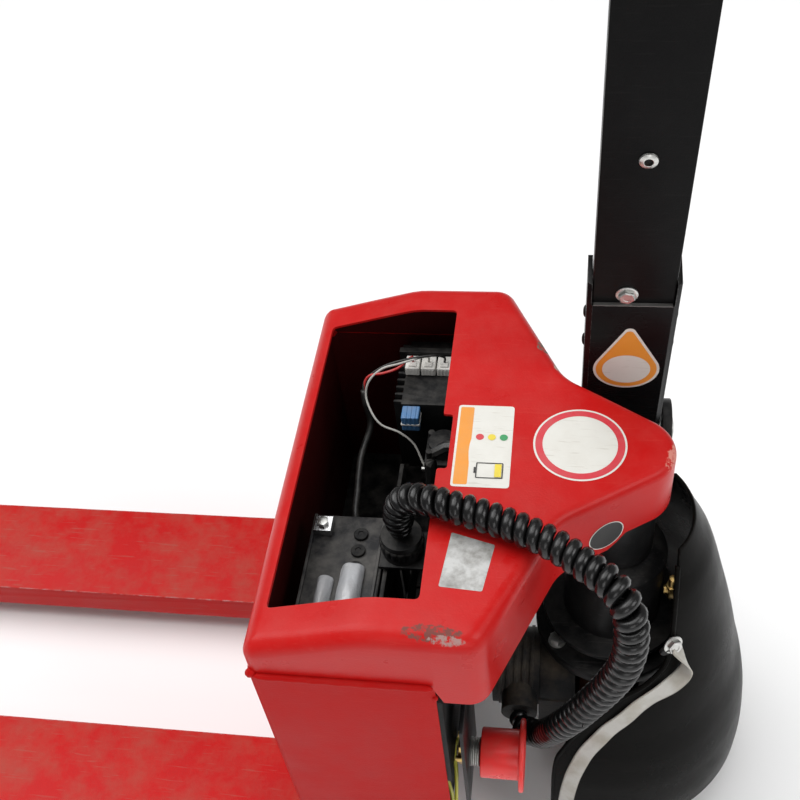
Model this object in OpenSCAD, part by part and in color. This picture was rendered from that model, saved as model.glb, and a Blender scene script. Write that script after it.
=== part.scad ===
// Electric pallet truck. +X is the operator end, +Z is up, the floor is z = 0.
// Modules draw the truck about its steering axis; on_axis() sets that axis at its place.

/* [Forks] */
// Length of a fork from the body's face to its tip
fork_len = 1150; // [900:10:1300]
// Width of one fork
fork_w = 165; // [150:1:180]
// Width over both forks
forks_w = 550; // [540:1:600]
// Height of the fork's top above the floor, lowered
fork_top = 85; // [82:1:90]
// Depth of the fork's channel
fork_h = 50; // [46:1:55]
// Sheet thickness of a fork
fork_wall = 6; // [4:0.5:8]
// Length of the tapered tip
fork_taper = 120; // [80:5:150]
// Width of the fork at its tip
fork_tip_w = 105; // [90:1:120]

/* [Load end] */
// Radius of a load roller
roller_r = 37; // [34:0.5:38]
// Width of a load roller
roller_w = 80; // [60:1:84]
// Distance from a fork's tip to the roller's axle
roller_back = 130; // [120:1:150]
// Length of a roller arm between its pivot and the axle
arm_len = 160; // [150:1:175]
// Height of the roller arm's pivot above the floor
arm_pivot_z = 62; // [60:0.5:63]
// Thickness of a roller arm's side plate
arm_plate = 8; // [6:0.5:10]
// Radius of the roller axle and the arm's pivot pin
axle_r = 8; // [7:0.5:9]
// Length of the levers that the pull rods work on
lever_len = 26; // [24:0.5:28]
// Radius of a pull rod
rod_r = 9; // [8:0.5:10]
// Radius of the pins at the ends of a pull rod
rod_pin_r = 5; // [4:0.5:6]
// Radius of the rocker shaft across the body
rocker_r = 12; // [10:0.5:14]
// Distance from the body's face back to the rocker shaft
rocker_in = 91; // [80:1:110]

/* [Body] */
// Distance from the steering axis to the body's face above the forks
body_reach = 381; // [370:1:400]
// Width of the red cover
cover_w = 504; // [490:1:510]
// Height of the cover's flat top above the floor
cover_z = 640; // [630:1:660]
// Sheet thickness of the cover
cover_wall = 3; // [2:0.5:4]
// Radius of the cover's rounded top edges
cover_round = 22; // [15:1:26]
// Length of the part of the cover that slopes down to the forks
slope_len = 130; // [100:5:150]
// Drop of that sloping part
slope_drop = 40; // [20:1:50]
// Distance from the steering axis to the cover's shoulder
shoulder_x = 138; // [130:1:150]
// Distance from the steering axis to the waist where the nose begins
waist_x = 68; // [62:1:74]
// Half width of the cover at the waist
waist_y = 103; // [98:1:104]
// Radius of the fillet at the waist
waist_round = 60; // [30:1:80]
// Radius of the nose's tip
nose_r = 47; // [45:0.5:48]
// Distance from the steering axis to the centre of the nose's tip
nose_x = 6; // [2:0.5:8]
// Height of the seam between the cover and the side panels
seam_z = 555; // [540:1:560]
// Thickness of the side panels and the other body plates
panel_wall = 4; // [3:0.5:5]
// How far a side panel stands proud of the cover
panel_proud = 3; // [2:0.5:4]
// Length of a side panel behind the body's face
panel_len = 195; // [190:1:200]
// Radius of the bead along a side panel's top edge
bead_r = 3.5; // [2:0.5:4]

/* [Battery bay] */
// Length of the opening in the cover
bay_len = 160; // [140:1:165]
// Width of the opening in the cover
bay_w = 410; // [380:1:430]
// Distance from the body's face to the opening
bay_in = 21; // [20:1:30]
// Depth of the notch in the opening's edge
notch_x = 11; // [5:0.5:14]
// Width of the notch in the opening's edge
notch_w = 77; // [60:1:90]
// Sideways offset of the notch
notch_y = -3; // [-10:1:10]
// Height of the bay's floor
bay_floor_z = 300; // [280:5:320]
// Width of the battery pack
battery_w = 90; // [80:1:100]
// Length of the battery pack across the truck
battery_l = 170; // [150:5:180]
// Height of the battery pack
battery_h = 215; // [180:5:225]

/* [Lift column] */
// Stroke of the lift
lift = 110; // [100:1:110]
// Radius of the ram
ram_r = 16; // [14:0.5:20]
// Radius of the upper column
column_r = 34; // [30:0.5:36]
// Outer radius of the guide sleeve under the nose
sleeve_r = 41; // [39:0.5:43]
// Height of the sleeve's lower end
sleeve_z = 466; // [462:1:480]
// Radius of the cylinder barrel
barrel_r = 60; // [54:0.5:62]
// Height of the barrel's shoulder
barrel_top_z = 452; // [445:1:455]
// Height of the barrel's foot
barrel_foot_z = 330; // [325:1:335]
// Radius of the steering flange
flange_r = 95; // [92:0.5:100]
// Height of the steering flange's top
flange_z = 305; // [300:1:308]
// Thickness of the steering flange
flange_t = 20; // [16:1:24]
// Radius of the circle that the flange bolts lie on
bolt_circle = 82.5; // [80:0.5:84]
// Number of flange bolts
flange_bolts_n = 6; // [4:1:8]

/* [Drive unit] */
// Radius of the drive wheel
wheel_r = 105; // [100:1:110]
// Width of the drive wheel
wheel_w = 70; // [60:1:76]
// Thickness of the tyre
tyre_t = 22; // [15:1:28]
// Radius of the drive axle
drive_axle_r = 15; // [12:0.5:18]
// Radius of the drive motor
motor_r = 50; // [45:0.5:52]
// Length of the drive motor
motor_len = 60; // [50:1:62]
// Height of the motor's axis above the floor
motor_z = 232; // [226:1:235]
// Sideways offset of the motor's axis
motor_y = -45; // [-50:1:-35]
// Largest radius of the wheel guard
guard_r = 189; // [186:0.5:192]
// Wall of the wheel guard
guard_wall = 4; // [3:0.5:5]
// Height of the guard's lower edge above the floor
guard_low_z = 80; // [60:5:90]
// Height of the guard's upper edge above the floor
guard_top_z = 530; // [520:1:535]

/* [Tiller] */
// Distance from the steering axis to the tiller's pivot
pivot_y = 147; // [145:1:150]
// Height of the tiller's pivot
pivot_z = 500; // [490:1:505]
// Lean of the parked tiller towards the truck, in degrees
tiller_lean = 8.7; // [6:0.1:8.7]
// Radius of the tiller's pivot pin
pivot_r = 10; // [8:0.5:12]
// Width of the tiller's lower channel
channel_w = 95; // [90:0.5:97]
// Depth of the tiller's lower channel
channel_d = 42; // [40:0.5:42]
// Wall of the tiller's lower channel
channel_wall = 5; // [4:0.5:5]
// Length of the channel's web above the pivot
web_len = 268; // [250:1:280]
// Length of the channel's cheeks above the pivot
cheek_len = 300; // [285:1:320]
// Width of the upper tube
tube_w = 84; // [80:0.5:84.5]
// Depth of the upper tube
tube_d = 34; // [30:0.5:36]
// Wall of the upper tube
tube_wall = 3; // [2:0.5:4]
// Length along the tiller from the pivot to the head
tube_top = 650; // [620:5:660]
// Thickness of the bracket's ears
ear_t = 12; // [10:0.5:14]
// Radius of the bracket's ears around the pivot
ear_r = 38; // [32:0.5:39]

/* [Tiller head] */
// Width of the head's housing
head_w = 112; // [100:1:120]
// Depth of the head's housing
head_d = 66; // [60:1:70]
// Height of the head's housing
head_h = 110; // [104:1:116]
// Radius of a grip
grip_r = 14; // [12:0.5:16]
// Outer half width of the handles
handle_x = 150; // [140:1:160]
// Radius of the handle's corners
handle_round = 30; // [26:1:34]

/* [Isolator and cord] */
// Radius of the isolator's red knob
knob_r = 29; // [25:0.5:30]
// Length of the knob's round body
knob_len = 36; // [30:1:40]
// Radius of the knob's rim
knob_rim_r = 42; // [38:0.5:43]
// Thickness of the knob's rim
knob_rim_t = 6; // [5:0.5:8]
// Travel of the knob
knob_travel = 8; // [5:0.5:10]
// Outer diameter of the curly cord
cord_d = 35; // [34:1:42]
// Diameter of the thin wires
wire_d = 5; // [4:0.5:6]

/* [Fits] */
// Radial clearance of a pin or shaft in its bore
run_gap = 0.05; // [0.02:0.01:0.1]
// Gap between two bodies that pass each other closely
body_gap = 0.3; // [0.2:0.05:0.5]

/* [Hidden] */
$fn = 64;
// The truck's overall length is centred on the origin.
steer_x = (body_reach + fork_len - guard_r) / 2;
cover_y = cover_w / 2;
panel_y = cover_y + panel_proud;
fork_y = forks_w / 2 - fork_w / 2;
face_x = -body_reach;
tip_x = face_x - fork_len;
panel_x = face_x + panel_len;
low_bulkhead_x = -206;
high_bulkhead_x = -186;
shelf_z = 330;
beam_t = 8;
beam_z = cover_z - cover_wall - beam_t;
hub_z = beam_z - 21;
// Skirt of the cover: its lower edge at the corner, along the flank and at the nose
skirt_corner_z = 522;
skirt_waist_z = 542;
skirt_nose_z = 562;
roller_x = tip_x + roller_back;
arm_drop = arm_pivot_z - roller_r;
arm_pivot_x = roller_x + sqrt(arm_len * arm_len - arm_drop * arm_drop);
rocker_x = face_x + rocker_in;
// Over the lift an arm swings this far, and each lever swings evenly about straight down.
arm_swing = asin((arm_drop + lift) / arm_len) - asin(arm_drop / arm_len);
lever_pin = lever_len * [-sin(arm_swing / 2), -cos(arm_swing / 2)];
pin_rise = lever_len * (1 - cos(arm_swing / 2));
rod_z = arm_pivot_z + lever_pin[1] - pin_rise / 2;
guard_profile = [[guard_r, guard_low_z], [guard_r, 104], [guard_r - 5, 170], [guard_r - 14, 222],
    [guard_r - 27, 275], [guard_r - 38, 324], [guard_r - 58, 400], [guard_r - 79, 472],
    [guard_r - 92, 500], [guard_r - 105, guard_top_z]];
ear_x = channel_w / 2 + 3.5;
head_z = tube_top;
head_top = head_z + head_h;
tube_foot = 150;
isolator_x = -168;
isolator_y = -206;
isolator_z = 310;
knob_x = isolator_x + panel_wall + 22;
// Route of the curly cord, from the gland in the bay to the gland on the motor
cord_route = [[-240, -80, 570], [-240, -80, 584], [-239, -82, 612], [-230, -88, 640],
    [-212, -97, 658], [-186, -108, 666], [-143, -119, 664], [-104, -133, 663], [-72, -148, 662],
    [-42, -168, 660], [-18, -188, 660], [-3, -206, 650], [3, -216, 622], [1, -220, 573],
    [-12, -216, 516], [-38, -208, 438], [-58, -197, 378], [-67, -184, 338], [-74, -171, 302],
    [-81, -160, 272], [-91, -149, 251], [-103, -140, 241], [-110, -132, 238], [-112, -124, 238],
    [-112, -118, 238]];

// ---- helpers ----
module on_axis() translate([steer_x, 0, 0]) children();
module box(x0, x1, y0, y1, z0, z1) translate([x0, y0, z0]) cube([x1 - x0, y1 - y0, z1 - z0]);
module z_rod(r, x, y, z0, z1) translate([x, y, z0]) cylinder(h = z1 - z0, r = r);
module x_rod(r, x0, x1, y, z) translate([x0, y, z]) rotate([0, 90, 0]) cylinder(h = x1 - x0, r = r);
module y_rod(r, x, y0, y1, z) translate([x, y0, z]) rotate([-90, 0, 0]) cylinder(h = y1 - y0, r = r);
// Extrudes an outline drawn in X and Z along Y
module side_cut(y0, y1) translate([0, y1, 0]) rotate([90, 0, 0]) linear_extrude(y1 - y0) children();
// Extrudes an outline drawn in Y and Z along X
module front_cut(x0, x1) translate([x0, 0, 0]) rotate([90, 0, 90]) linear_extrude(x1 - x0) children();
module hex_screw(r, h) cylinder(h = h, r = r, $fn = 6);
function arc(c, r, a0, a1, n) = [for (i = [0:n]) c + r * [cos(a0 + (a1 - a0) * i / n), sin(a0 + (a1 - a0) * i / n)]];
function unit(v) = v / norm(v);
function flip(p) = [for (i = [len(p) - 1:-1:0]) [p[i][0], -p[i][1]]];
// Moves each side of a counter-clockwise outline inwards by t
function inset(p, t) = [for (i = [0:len(p) - 1])
    let(a = unit(p[i] - p[(i + len(p) - 1) % len(p)]), b = unit(p[(i + 1) % len(p)] - p[i]),
        na = [-a[1], a[0]], nb = [-b[1], b[0]])
    p[i] + t * (na + nb) / (1 + na * nb)];
// Cross product direction frames for a tube swept along a route
function tangent(p, i) = unit(p[min(i + 1, len(p) - 1)] - p[max(i - 1, 0)]);
function side(t) = unit(abs(t[2]) > 0.95 ? cross(t, [1, 0, 0]) : cross(t, [0, 0, 1]));
function ring(c, t, r, n) = let(u = side(t), v = cross(u, t))
    [for (k = [0:n - 1]) c + r * (cos(360 * k / n) * u + sin(360 * k / n) * v)];
module swept_tube(p, r, n) {
    m = len(p);
    points = [for (i = [0:m - 1]) each ring(p[i], tangent(p, i), r, n)];
    walls = [for (i = [0:m - 2]) for (k = [0:n - 1]) let(a = i * n + k, b = i * n + (k + 1) % n)
        each [[a, b, b + n], [a, b + n, a + n]]];
    first = [for (k = [n - 1:-1:0]) k];
    last = [for (k = [0:n - 1]) (m - 1) * n + k];
    polyhedron(points, concat([first, last], walls), convexity = 8);
}

// ---- body ----
// Points of a round of radius r at corner v between the points a and b, either way it turns
function fillet(a, v, b, r, n) = let(u = unit(a - v), w = unit(b - v), h = acos(u * w) / 2,
    c = v + unit(u + w) * r / sin(h), p = v + u * r / tan(h) - c, q = v + w * r / tan(h) - c,
    s = atan2(p[1], p[0]), d = atan2(q[1], q[0]) - s, turn = d > 180 ? d - 360 : d < -180 ? d + 360 : d)
    arc(c, r, s, s + turn, n);
nose_a = atan2(waist_y, -waist_x - nose_x) - acos(nose_r / norm([waist_x + nose_x, waist_y]));
nose_end = [nose_x, 0] + nose_r * [cos(nose_a), sin(nose_a)];
cover_half = concat(
    arc([nose_x, 0], nose_r, 0, nose_a, 12),
    fillet(nose_end, [-waist_x, waist_y], [-shoulder_x, cover_y], waist_round, 6),
    [[-shoulder_x, cover_y], [face_x, cover_y]]);
cover_outline = concat(cover_half, flip([for (i = [1:len(cover_half) - 1]) cover_half[i]]));
function cover_side(t) = concat(
    [[face_x + t, seam_z - t], [panel_x + body_gap, seam_z - t], [panel_x + body_gap, skirt_corner_z - t],
     [-shoulder_x, skirt_corner_z - t], [-waist_x, skirt_waist_z - t], [-10, skirt_waist_z + 2 - t],
     [0, skirt_nose_z - t], [nose_x + nose_r + 5, skirt_nose_z - t],
     [nose_x + nose_r + 5, cover_z - t], [face_x + slope_len, cover_z - t]],
    arc([face_x + cover_round, cover_z - slope_drop - cover_round + 5], cover_round - t, 107, 180, 6));
function cover_end(t) = concat(
    [[-cover_y + t, 400], [cover_y - t, 400]],
    arc([cover_y - cover_round, cover_z - cover_round], cover_round - t, 0, 90, 6),
    arc([cover_round - cover_y, cover_z - cover_round], cover_round - t, 90, 180, 6));
module cover_solid(t) intersection() {
    translate([0, 0, 400]) linear_extrude(300) polygon(inset(cover_outline, t));
    side_cut(-cover_y, cover_y) polygon(cover_side(t));
    front_cut(face_x, nose_x + nose_r) polygon(cover_end(t));
}
module bay_opening() {
    x0 = face_x + bay_in;
    box(x0, x0 + bay_len, -bay_w / 2, bay_w / 2, 500, 700);
    box(x0 + 1, x0 + bay_len + notch_x, notch_y - notch_w / 2, notch_y + notch_w / 2, 500, 700);
}
module top_cover() {
    color("firebrick") on_axis() difference() {
        cover_solid(0);
        cover_solid(cover_wall);
        bay_opening();
    }
}
// Side panel on the side s: -1 near, 1 far
module side_panel(s) mirror([0, s > 0 ? 0 : 1, 0]) {
    inner = cover_y - panel_wall + panel_proud;
    box(face_x, panel_x, inner, panel_y, fork_top, seam_z);
    // Its folded-in edge, cut short above and below the bulkhead's shelf
    for (z = [[fork_top + 30, shelf_z - 5 - body_gap], [shelf_z + body_gap, seam_z - 20]])
        box(panel_x - panel_wall, panel_x, inner - 14, inner, z[0], z[1]);
    intersection() {
        x_rod(bead_r, face_x + 2, panel_x - 2, panel_y, seam_z - bead_r);
        box(face_x, panel_x, panel_y, panel_y + 10, 0, seam_z);
    }
}
module left_side_panel() color("firebrick") on_axis() side_panel(-1);
module right_side_panel() color("firebrick") on_axis() side_panel(1);
module front_wall() {
    y = cover_y + panel_proud - panel_wall;
    color("firebrick") on_axis() box(face_x, face_x + panel_wall, -y, y, base_top, seam_z - cover_wall);
}
base_top = fork_top + 8;
module base_plate() {
    y = cover_y + panel_proud - panel_wall;
    color("firebrick") on_axis() box(face_x, low_bulkhead_x + 6, -y, y, fork_top, base_top);
    // Bay floor on its two rails
    color("dimgray") on_axis() for (x = [face_x + panel_wall, low_bulkhead_x - 20])
        box(x, x + 20, -y, y, base_top, bay_floor_z - 3);
    color("dimgray") on_axis() difference() {
        box(face_x + panel_wall, low_bulkhead_x, -y, y, bay_floor_z - 3, bay_floor_z);
        z_rod(hose_r + hose_hole, hose_x - 25, -26, bay_floor_z - 4, bay_floor_z + 1);
    }
}
module bulkhead() {
    y = cover_y + panel_proud - panel_wall;
    color("dimgray") on_axis() difference() {
        side_cut(-y, y) polygon([[low_bulkhead_x, base_top], [low_bulkhead_x + 5, base_top],
            [low_bulkhead_x + 5, shelf_z - 5], [high_bulkhead_x + 5, shelf_z - 5],
            [high_bulkhead_x + 5, seam_z + 1], [high_bulkhead_x + 5, beam_z],
            [high_bulkhead_x, beam_z], [high_bulkhead_x, shelf_z], [low_bulkhead_x, shelf_z]]);
        for (s = [-1, 1]) box(high_bulkhead_x - 1, high_bulkhead_x + 6, s > 0 ? 110 : -300,
            s > 0 ? 300 : -110, seam_z - 36, beam_z + 1);
        x_rod(hose_r + hose_hole, high_bulkhead_x - 1, high_bulkhead_x + 6, 24, hose_out_z);
    }
}
// Plan of a fork, drawn inset by t
function fork_plan(t) = inset([[tip_x, -fork_tip_w / 2 + 15], [tip_x + 15, -fork_tip_w / 2],
    [tip_x + fork_taper, -fork_w / 2], [fork_root_x, -fork_w / 2], [fork_root_x, fork_w / 2],
    [tip_x + fork_taper, fork_w / 2], [tip_x + 15, fork_tip_w / 2], [tip_x, fork_tip_w / 2 - 15]], t);
fork_root_x = low_bulkhead_x - 10;
fork_low = fork_top - fork_h;
module fork(s) on_axis() difference() {
    translate([0, s * fork_y, 0]) difference() {
        intersection() {
            linear_extrude(fork_top) polygon(fork_plan(0));
            side_cut(-fork_w, fork_w) polygon([[tip_x, fork_low + 20], [tip_x + 60, fork_low],
                [fork_root_x, fork_low], [fork_root_x, fork_top], [tip_x + 60, fork_top],
                [tip_x, fork_top - 16]]);
        }
        intersection() {
            linear_extrude(fork_top - fork_wall) polygon(fork_plan(fork_wall));
            box(tip_x + 45, 0, -fork_w, fork_w, 0, fork_top);
        }
        y_rod(axle_r + run_gap, arm_pivot_x, -fork_w, fork_w, arm_pivot_z);
        // The load lies on the top only as far as the body's face
        box(face_x - body_gap, 0, -fork_w, fork_w, fork_top - body_gap, fork_top + 1);
    }
    y_rod(rocker_r + run_gap, rocker_x, -fork_y, fork_y, arm_pivot_z);
}
module left_fork() color("firebrick") fork(-1);
module right_fork() color("firebrick") fork(1);
module nose_beam() {
    color("dimgray") on_axis() {
        intersection() {
            translate([0, 0, beam_z]) linear_extrude(beam_t) polygon(inset(cover_outline, 8));
            box(high_bulkhead_x, 100, -150, 150, beam_z, beam_z + beam_t);
        }
        difference() {
            z_rod(sleeve_r - 11, 0, 0, hub_z, beam_z);
            z_rod(ram_r, 0, 0, hub_z - 1, beam_z + 1);
        }
    }
}
module guide_sleeve() {
    color("#2b2b2b") on_axis() difference() {
        z_rod(sleeve_r, 0, 0, sleeve_z, beam_z);
        z_rod(column_r + run_gap, 0, 0, sleeve_z - 1, beam_z + 1);
    }
}
module lift_ram() color("silver") on_axis() z_rod(ram_r, 0, 0, barrel_foot_z + 22, beam_z);

// ---- battery bay ----
battery_x = face_x + 25;
battery_y = -190;
module battery_pack() {
    color("gainsboro") on_axis() {
        box(battery_x, battery_x + battery_w, battery_y, battery_y + battery_l,
            bay_floor_z, bay_floor_z + battery_h);
        // Ribs that stiffen the case
        for (y = [battery_y + 20:30:battery_y + battery_l - 20])
            box(battery_x + battery_w, battery_x + battery_w + 4, y, y + 8,
                bay_floor_z, bay_floor_z + battery_h - 12);
    }
}
clamp_x = battery_x + battery_w + 5;
module battery_clamp() {
    color("#202020") on_axis() difference() {
        union() {
            box(clamp_x, clamp_x + 5, battery_y - 10, 50, bay_floor_z, bay_floor_z + 230);
            box(clamp_x, clamp_x + 40, 20, 50, bay_floor_z, bay_floor_z + 5);
        }
        for (y = [-150:50:0]) box(clamp_x - 1, clamp_x + 6, y, y + 26, 360, 480);
    }
}
controller_x = high_bulkhead_x - 80;
controller_z = 440;
controller_top = 562;
module controller() {
    color("#1c1c1c") on_axis() {
        box(controller_x, high_bulkhead_x, 118, 228, controller_z, controller_top);
        for (y = [122:12:218]) box(controller_x - 10, controller_x, y, y + 4, controller_z, controller_top);
    }
}
plug_y = 178;
plug_xs = [controller_x + 9, controller_x + 29, controller_x + 49];
module controller_plugs() {
    color("white") on_axis() for (x = plug_xs)
        box(x - 9, x + 9, plug_y - 12, plug_y + 12, controller_top, controller_top + 15);
    color("royalblue") on_axis() box(controller_x + 2, controller_x + 24, 97, 118,
        controller_top - 26, controller_top - 2);
}
module contactor() {
    color("#303030") on_axis() {
        box(high_bulkhead_x - 46, high_bulkhead_x, 50, 100, 470, 530);
        z_rod(18, high_bulkhead_x - 24, 75, 530, 546);
        for (y = [60, 90]) z_rod(4, high_bulkhead_x - 40, y, 530, 544);
    }
}
pump_x = (face_x + low_bulkhead_x) / 2;
module pump_motor() {
    color("#252525") on_axis() {
        y_rod(48, pump_x, -190, -60, base_top + 60);
        box(pump_x - 40, pump_x + 40, -60, 0, base_top, base_top + 110);
        for (y = [-170, -90]) box(pump_x - 35, pump_x + 35, y, y + 8, base_top, base_top + 30);
    }
}
module oil_tank() {
    color("#e8e4d8") on_axis() {
        box(pump_x - 55, pump_x + 55, 0, 190, base_top, base_top + 130);
        z_rod(16, pump_x, 150, base_top + 130, base_top + 150);
    }
}
hose_r = 7;
hose_hole = 3;
hose_x = low_bulkhead_x - 14;
hose_out_z = 598;
hose_route = [[hose_x - 30, -30, base_top + 110], [hose_x - 30, -30, 230], [hose_x - 27, -28, 258],
    [hose_x - 25, -26, 285], [hose_x - 25, -26, 315], [hose_x - 18, -18, 345], [hose_x - 6, -4, 400],
    [hose_x, 14, 470], [hose_x, 22, 530], [hose_x + 2, 24, 566], [hose_x + 9, 24, 587],
    [hose_x + 22, 24, hose_out_z - 1], [hose_x + 34, 24, hose_out_z], [hose_x + 50, 24, hose_out_z],
    [hose_x + 90, 15, hose_out_z], [hose_x + 130, 4, hose_out_z], [hose_x + 155, 0, hose_out_z],
    [-sleeve_r - body_gap, 0, hose_out_z]];
module oil_hose() color("#151515") on_axis() swept_tube(hose_route, hose_r, 8);
wire_z = controller_top + 15;
red_wire = [[plug_xs[0], plug_y, wire_z], [plug_xs[0], plug_y, wire_z + 8],
    [plug_xs[0] - 3, plug_y - 10, wire_z + 13], [controller_x - 4, 140, wire_z + 8],
    [controller_x - 12, 106, wire_z - 20], [controller_x - 6, 84, wire_z - 60],
    [controller_x + 20, 76, 496], [controller_x + 28, 75, 490], [high_bulkhead_x - 46 - body_gap, 75, 490]];
white_wire = [[plug_xs[1], plug_y, wire_z], [plug_xs[1], plug_y, wire_z + 10],
    [plug_xs[1] - 10, plug_y + 3, wire_z + 18], [controller_x - 10, 176, wire_z + 14],
    [controller_x - 42, 164, wire_z - 6], [controller_x - 58, 138, wire_z - 30],
    [controller_x - 60, 90, 520], [controller_x - 60, 40, 480], [-300, -16, 440]];
black_wire = [[plug_xs[2], plug_y, wire_z], [plug_xs[2], plug_y, wire_z + 8],
    [plug_xs[2] - 8, plug_y + 14, wire_z + 13], [plug_xs[0] - 10, plug_y + 20, wire_z + 10],
    [controller_x - 22, 184, wire_z],
    [controller_x - 46, 140, wire_z - 30], [controller_x - 50, 110, 530],
    [controller_x - 36, 78, 505], [controller_x - 4, 59, 504], [high_bulkhead_x - 26, 36, 512],
    [high_bulkhead_x - 14, 34, 512], [high_bulkhead_x - body_gap, 34, 512]];
module bay_wires() {
    color("crimson") on_axis() swept_tube(red_wire, wire_d / 2, 8);
    color("whitesmoke") on_axis() swept_tube(white_wire, wire_d / 2, 8);
    color("#101010") on_axis() swept_tube(black_wire, wire_d / 2, 8);
}
plate_y0 = -246;
plate_y1 = -150;
module isolator_plate() {
    color("#1a1a1a") on_axis() difference() {
        union() {
            box(isolator_x, isolator_x + panel_wall, plate_y0, plate_y1, 240, 440);
            box(high_bulkhead_x + 5, isolator_x, plate_y1 - panel_wall, plate_y1, shelf_z, 440);
        }
        x_rod(10, isolator_x - 1, isolator_x + panel_wall + 1, isolator_y, isolator_z);
    }
}
module isolator_body() {
    color("#b9a36a") on_axis() difference() {
        union() {
            x_rod(10, isolator_x - 6, isolator_x + panel_wall, isolator_y, isolator_z);
            x_rod(17, isolator_x - 10, isolator_x, isolator_y, isolator_z);
            x_rod(17, isolator_x + panel_wall, knob_x - knob_travel - 1, isolator_y, isolator_z);
        }
        x_rod(7 + run_gap, isolator_x - 6, knob_x, isolator_y, isolator_z);
    }
}
module isolator_knob() {
    color("red") on_axis() {
        x_rod(7, isolator_x + 6, knob_x, isolator_y, isolator_z);
        x_rod(knob_r, knob_x, knob_x + knob_len, isolator_y, isolator_z);
        x_rod(knob_rim_r, knob_x + knob_len, knob_x + knob_len + knob_rim_t, isolator_y, isolator_z);
    }
}
gland_top = cord_route[0];
module cord_gland() {
    color("#181818") on_axis() {
        z_rod(23, gland_top[0], gland_top[1], gland_top[2] - 30, gland_top[2]);
        box(gland_top[0] - 25, high_bulkhead_x, gland_top[1] - 25, gland_top[1] + 25,
            gland_top[2] - 35, gland_top[2] - 30);
    }
}
module curly_cord() color("#0c0c0c") on_axis() swept_tube(cord_route, cord_d / 2, 12);
module bulkhead_bolts() {
    color("silver") on_axis() for (p = [[-109, 500], [109, 500], [-96, 596], [96, 596]])
        translate([high_bulkhead_x, p[0], p[1]]) rotate([0, -90, 0]) hex_screw(8, 6);
}

// ---- load end ----
// A flat bar with round ends between the points p and q of the XZ plane
module bar(p, q, r, y0, y1) {
    a = atan2(q[1] - p[1], q[0] - p[0]);
    side_cut(y0, y1) polygon(concat(arc(p, r, a + 90, a + 270, 12), arc(q, r, a - 90, a + 90, 12)));
}
module lever() {
    bar([0, 0], lever_pin, rod_pin_r + 4.5, -6, 6);
    y_rod(rod_pin_r, lever_pin[0], -13, 13, lever_pin[1]);
}
module rocker_shaft() {
    color("#3a3a3a") on_axis() translate([rocker_x, 0, arm_pivot_z]) {
        y_rod(rocker_r, 0, -fork_y - 12, fork_y + 12, 0);
        for (s = [-1, 1]) translate([0, s * fork_y, 0]) lever();
    }
}
eye_x0 = arm_pivot_x + lever_pin[0];
eye_x1 = rocker_x + lever_pin[0];
module rod_end(x, s) {
    for (t = [-1, 1]) translate([x, t * 9.75, rod_z]) difference() {
        union() {
            y_rod(10.5, 0, -2.75, 2.75, 0);
            box(s > 0 ? 0 : -26, s > 0 ? 26 : 0, -2.75, 2.75, -8, 8);
        }
        y_rod(rod_pin_r + pin_rise / 2 + body_gap, 0, -4, 4, 0);
    }
    box(x + (s > 0 ? 16 : -26), x + (s > 0 ? 26 : -16), -12.5, 12.5, rod_z - 8, rod_z + 8);
}
module pull_rod(s) on_axis() translate([0, s * fork_y, 0]) {
    x_rod(rod_r - 1, eye_x0 + 26, eye_x1 - 26, 0, rod_z);
    rod_end(eye_x0, 1);
    rod_end(eye_x1, -1);
}
module left_pull_rod() color("#8d8f92") pull_rod(-1);
module right_pull_rod() color("#8d8f92") pull_rod(1);
module roller_arm(s) on_axis() translate([arm_pivot_x, s * fork_y, arm_pivot_z]) {
    axle = [roller_x - arm_pivot_x, roller_r - arm_pivot_z];
    inner = roller_w / 2 + 1;
    for (t = [0, 1]) mirror([0, t, 0]) bar([0, 0], axle, 14, inner, inner + arm_plate);
    y_rod(axle_r, 0, -fork_w / 2, fork_w / 2, 0);
    y_rod(12, 0, -inner - 1, inner + 1, 0);
    y_rod(axle_r, axle[0], -inner - arm_plate - 2, inner + arm_plate + 2, axle[1]);
    lever();
}
module left_roller_arm() color("#3a3a3a") roller_arm(-1);
module right_roller_arm() color("#3a3a3a") roller_arm(1);
module load_roller(s) on_axis() translate([roller_x, s * fork_y, roller_r])
    rotate([90, 0, 0]) rotate_extrude() polygon([[axle_r + run_gap, -roller_w / 2],
        [roller_r - 3, -roller_w / 2], [roller_r, -roller_w / 2 + 3], [roller_r, roller_w / 2 - 3],
        [roller_r - 3, roller_w / 2], [axle_r + run_gap, roller_w / 2]]);
module left_load_roller() color("#c98f3c") load_roller(-1);
module right_load_roller() color("#c98f3c") load_roller(1);

// ---- lift column and drive unit ----
module lift_column() {
    color("#262626") on_axis() difference() {
        rotate_extrude() polygon([[0, barrel_foot_z], [86, barrel_foot_z], [86, barrel_foot_z + 8],
            [barrel_r, barrel_foot_z + 8], [barrel_r, barrel_top_z], [column_r + 8, sleeve_z - 4],
            [column_r, sleeve_z - 4], [column_r, hub_z - 4], [0, hub_z - 4]]);
        z_rod(ram_r + run_gap, 0, 0, barrel_foot_z + 14, hub_z);
    }
}
module oil_fitting() {
    color("goldenrod") on_axis() {
        x_rod(6, barrel_r - 2, barrel_r + 10, -24, 402);
        translate([barrel_r + 8, -24, 392]) hex_screw(8, 20);
        z_rod(5, barrel_r + 8, -24, 412, 426);
    }
}
module turntable_bearing() {
    color("silver") on_axis() difference() {
        z_rod(70, 0, 0, flange_z, barrel_foot_z - body_gap);
        z_rod(45, 0, 0, flange_z - 1, barrel_foot_z);
    }
}
module steering_flange() {
    color("#262626") on_axis() difference() {
        z_rod(flange_r, 0, 0, flange_z - flange_t, flange_z);
        z_rod(30, 0, 0, flange_z - flange_t - 1, flange_z + 1);
    }
}
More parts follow.
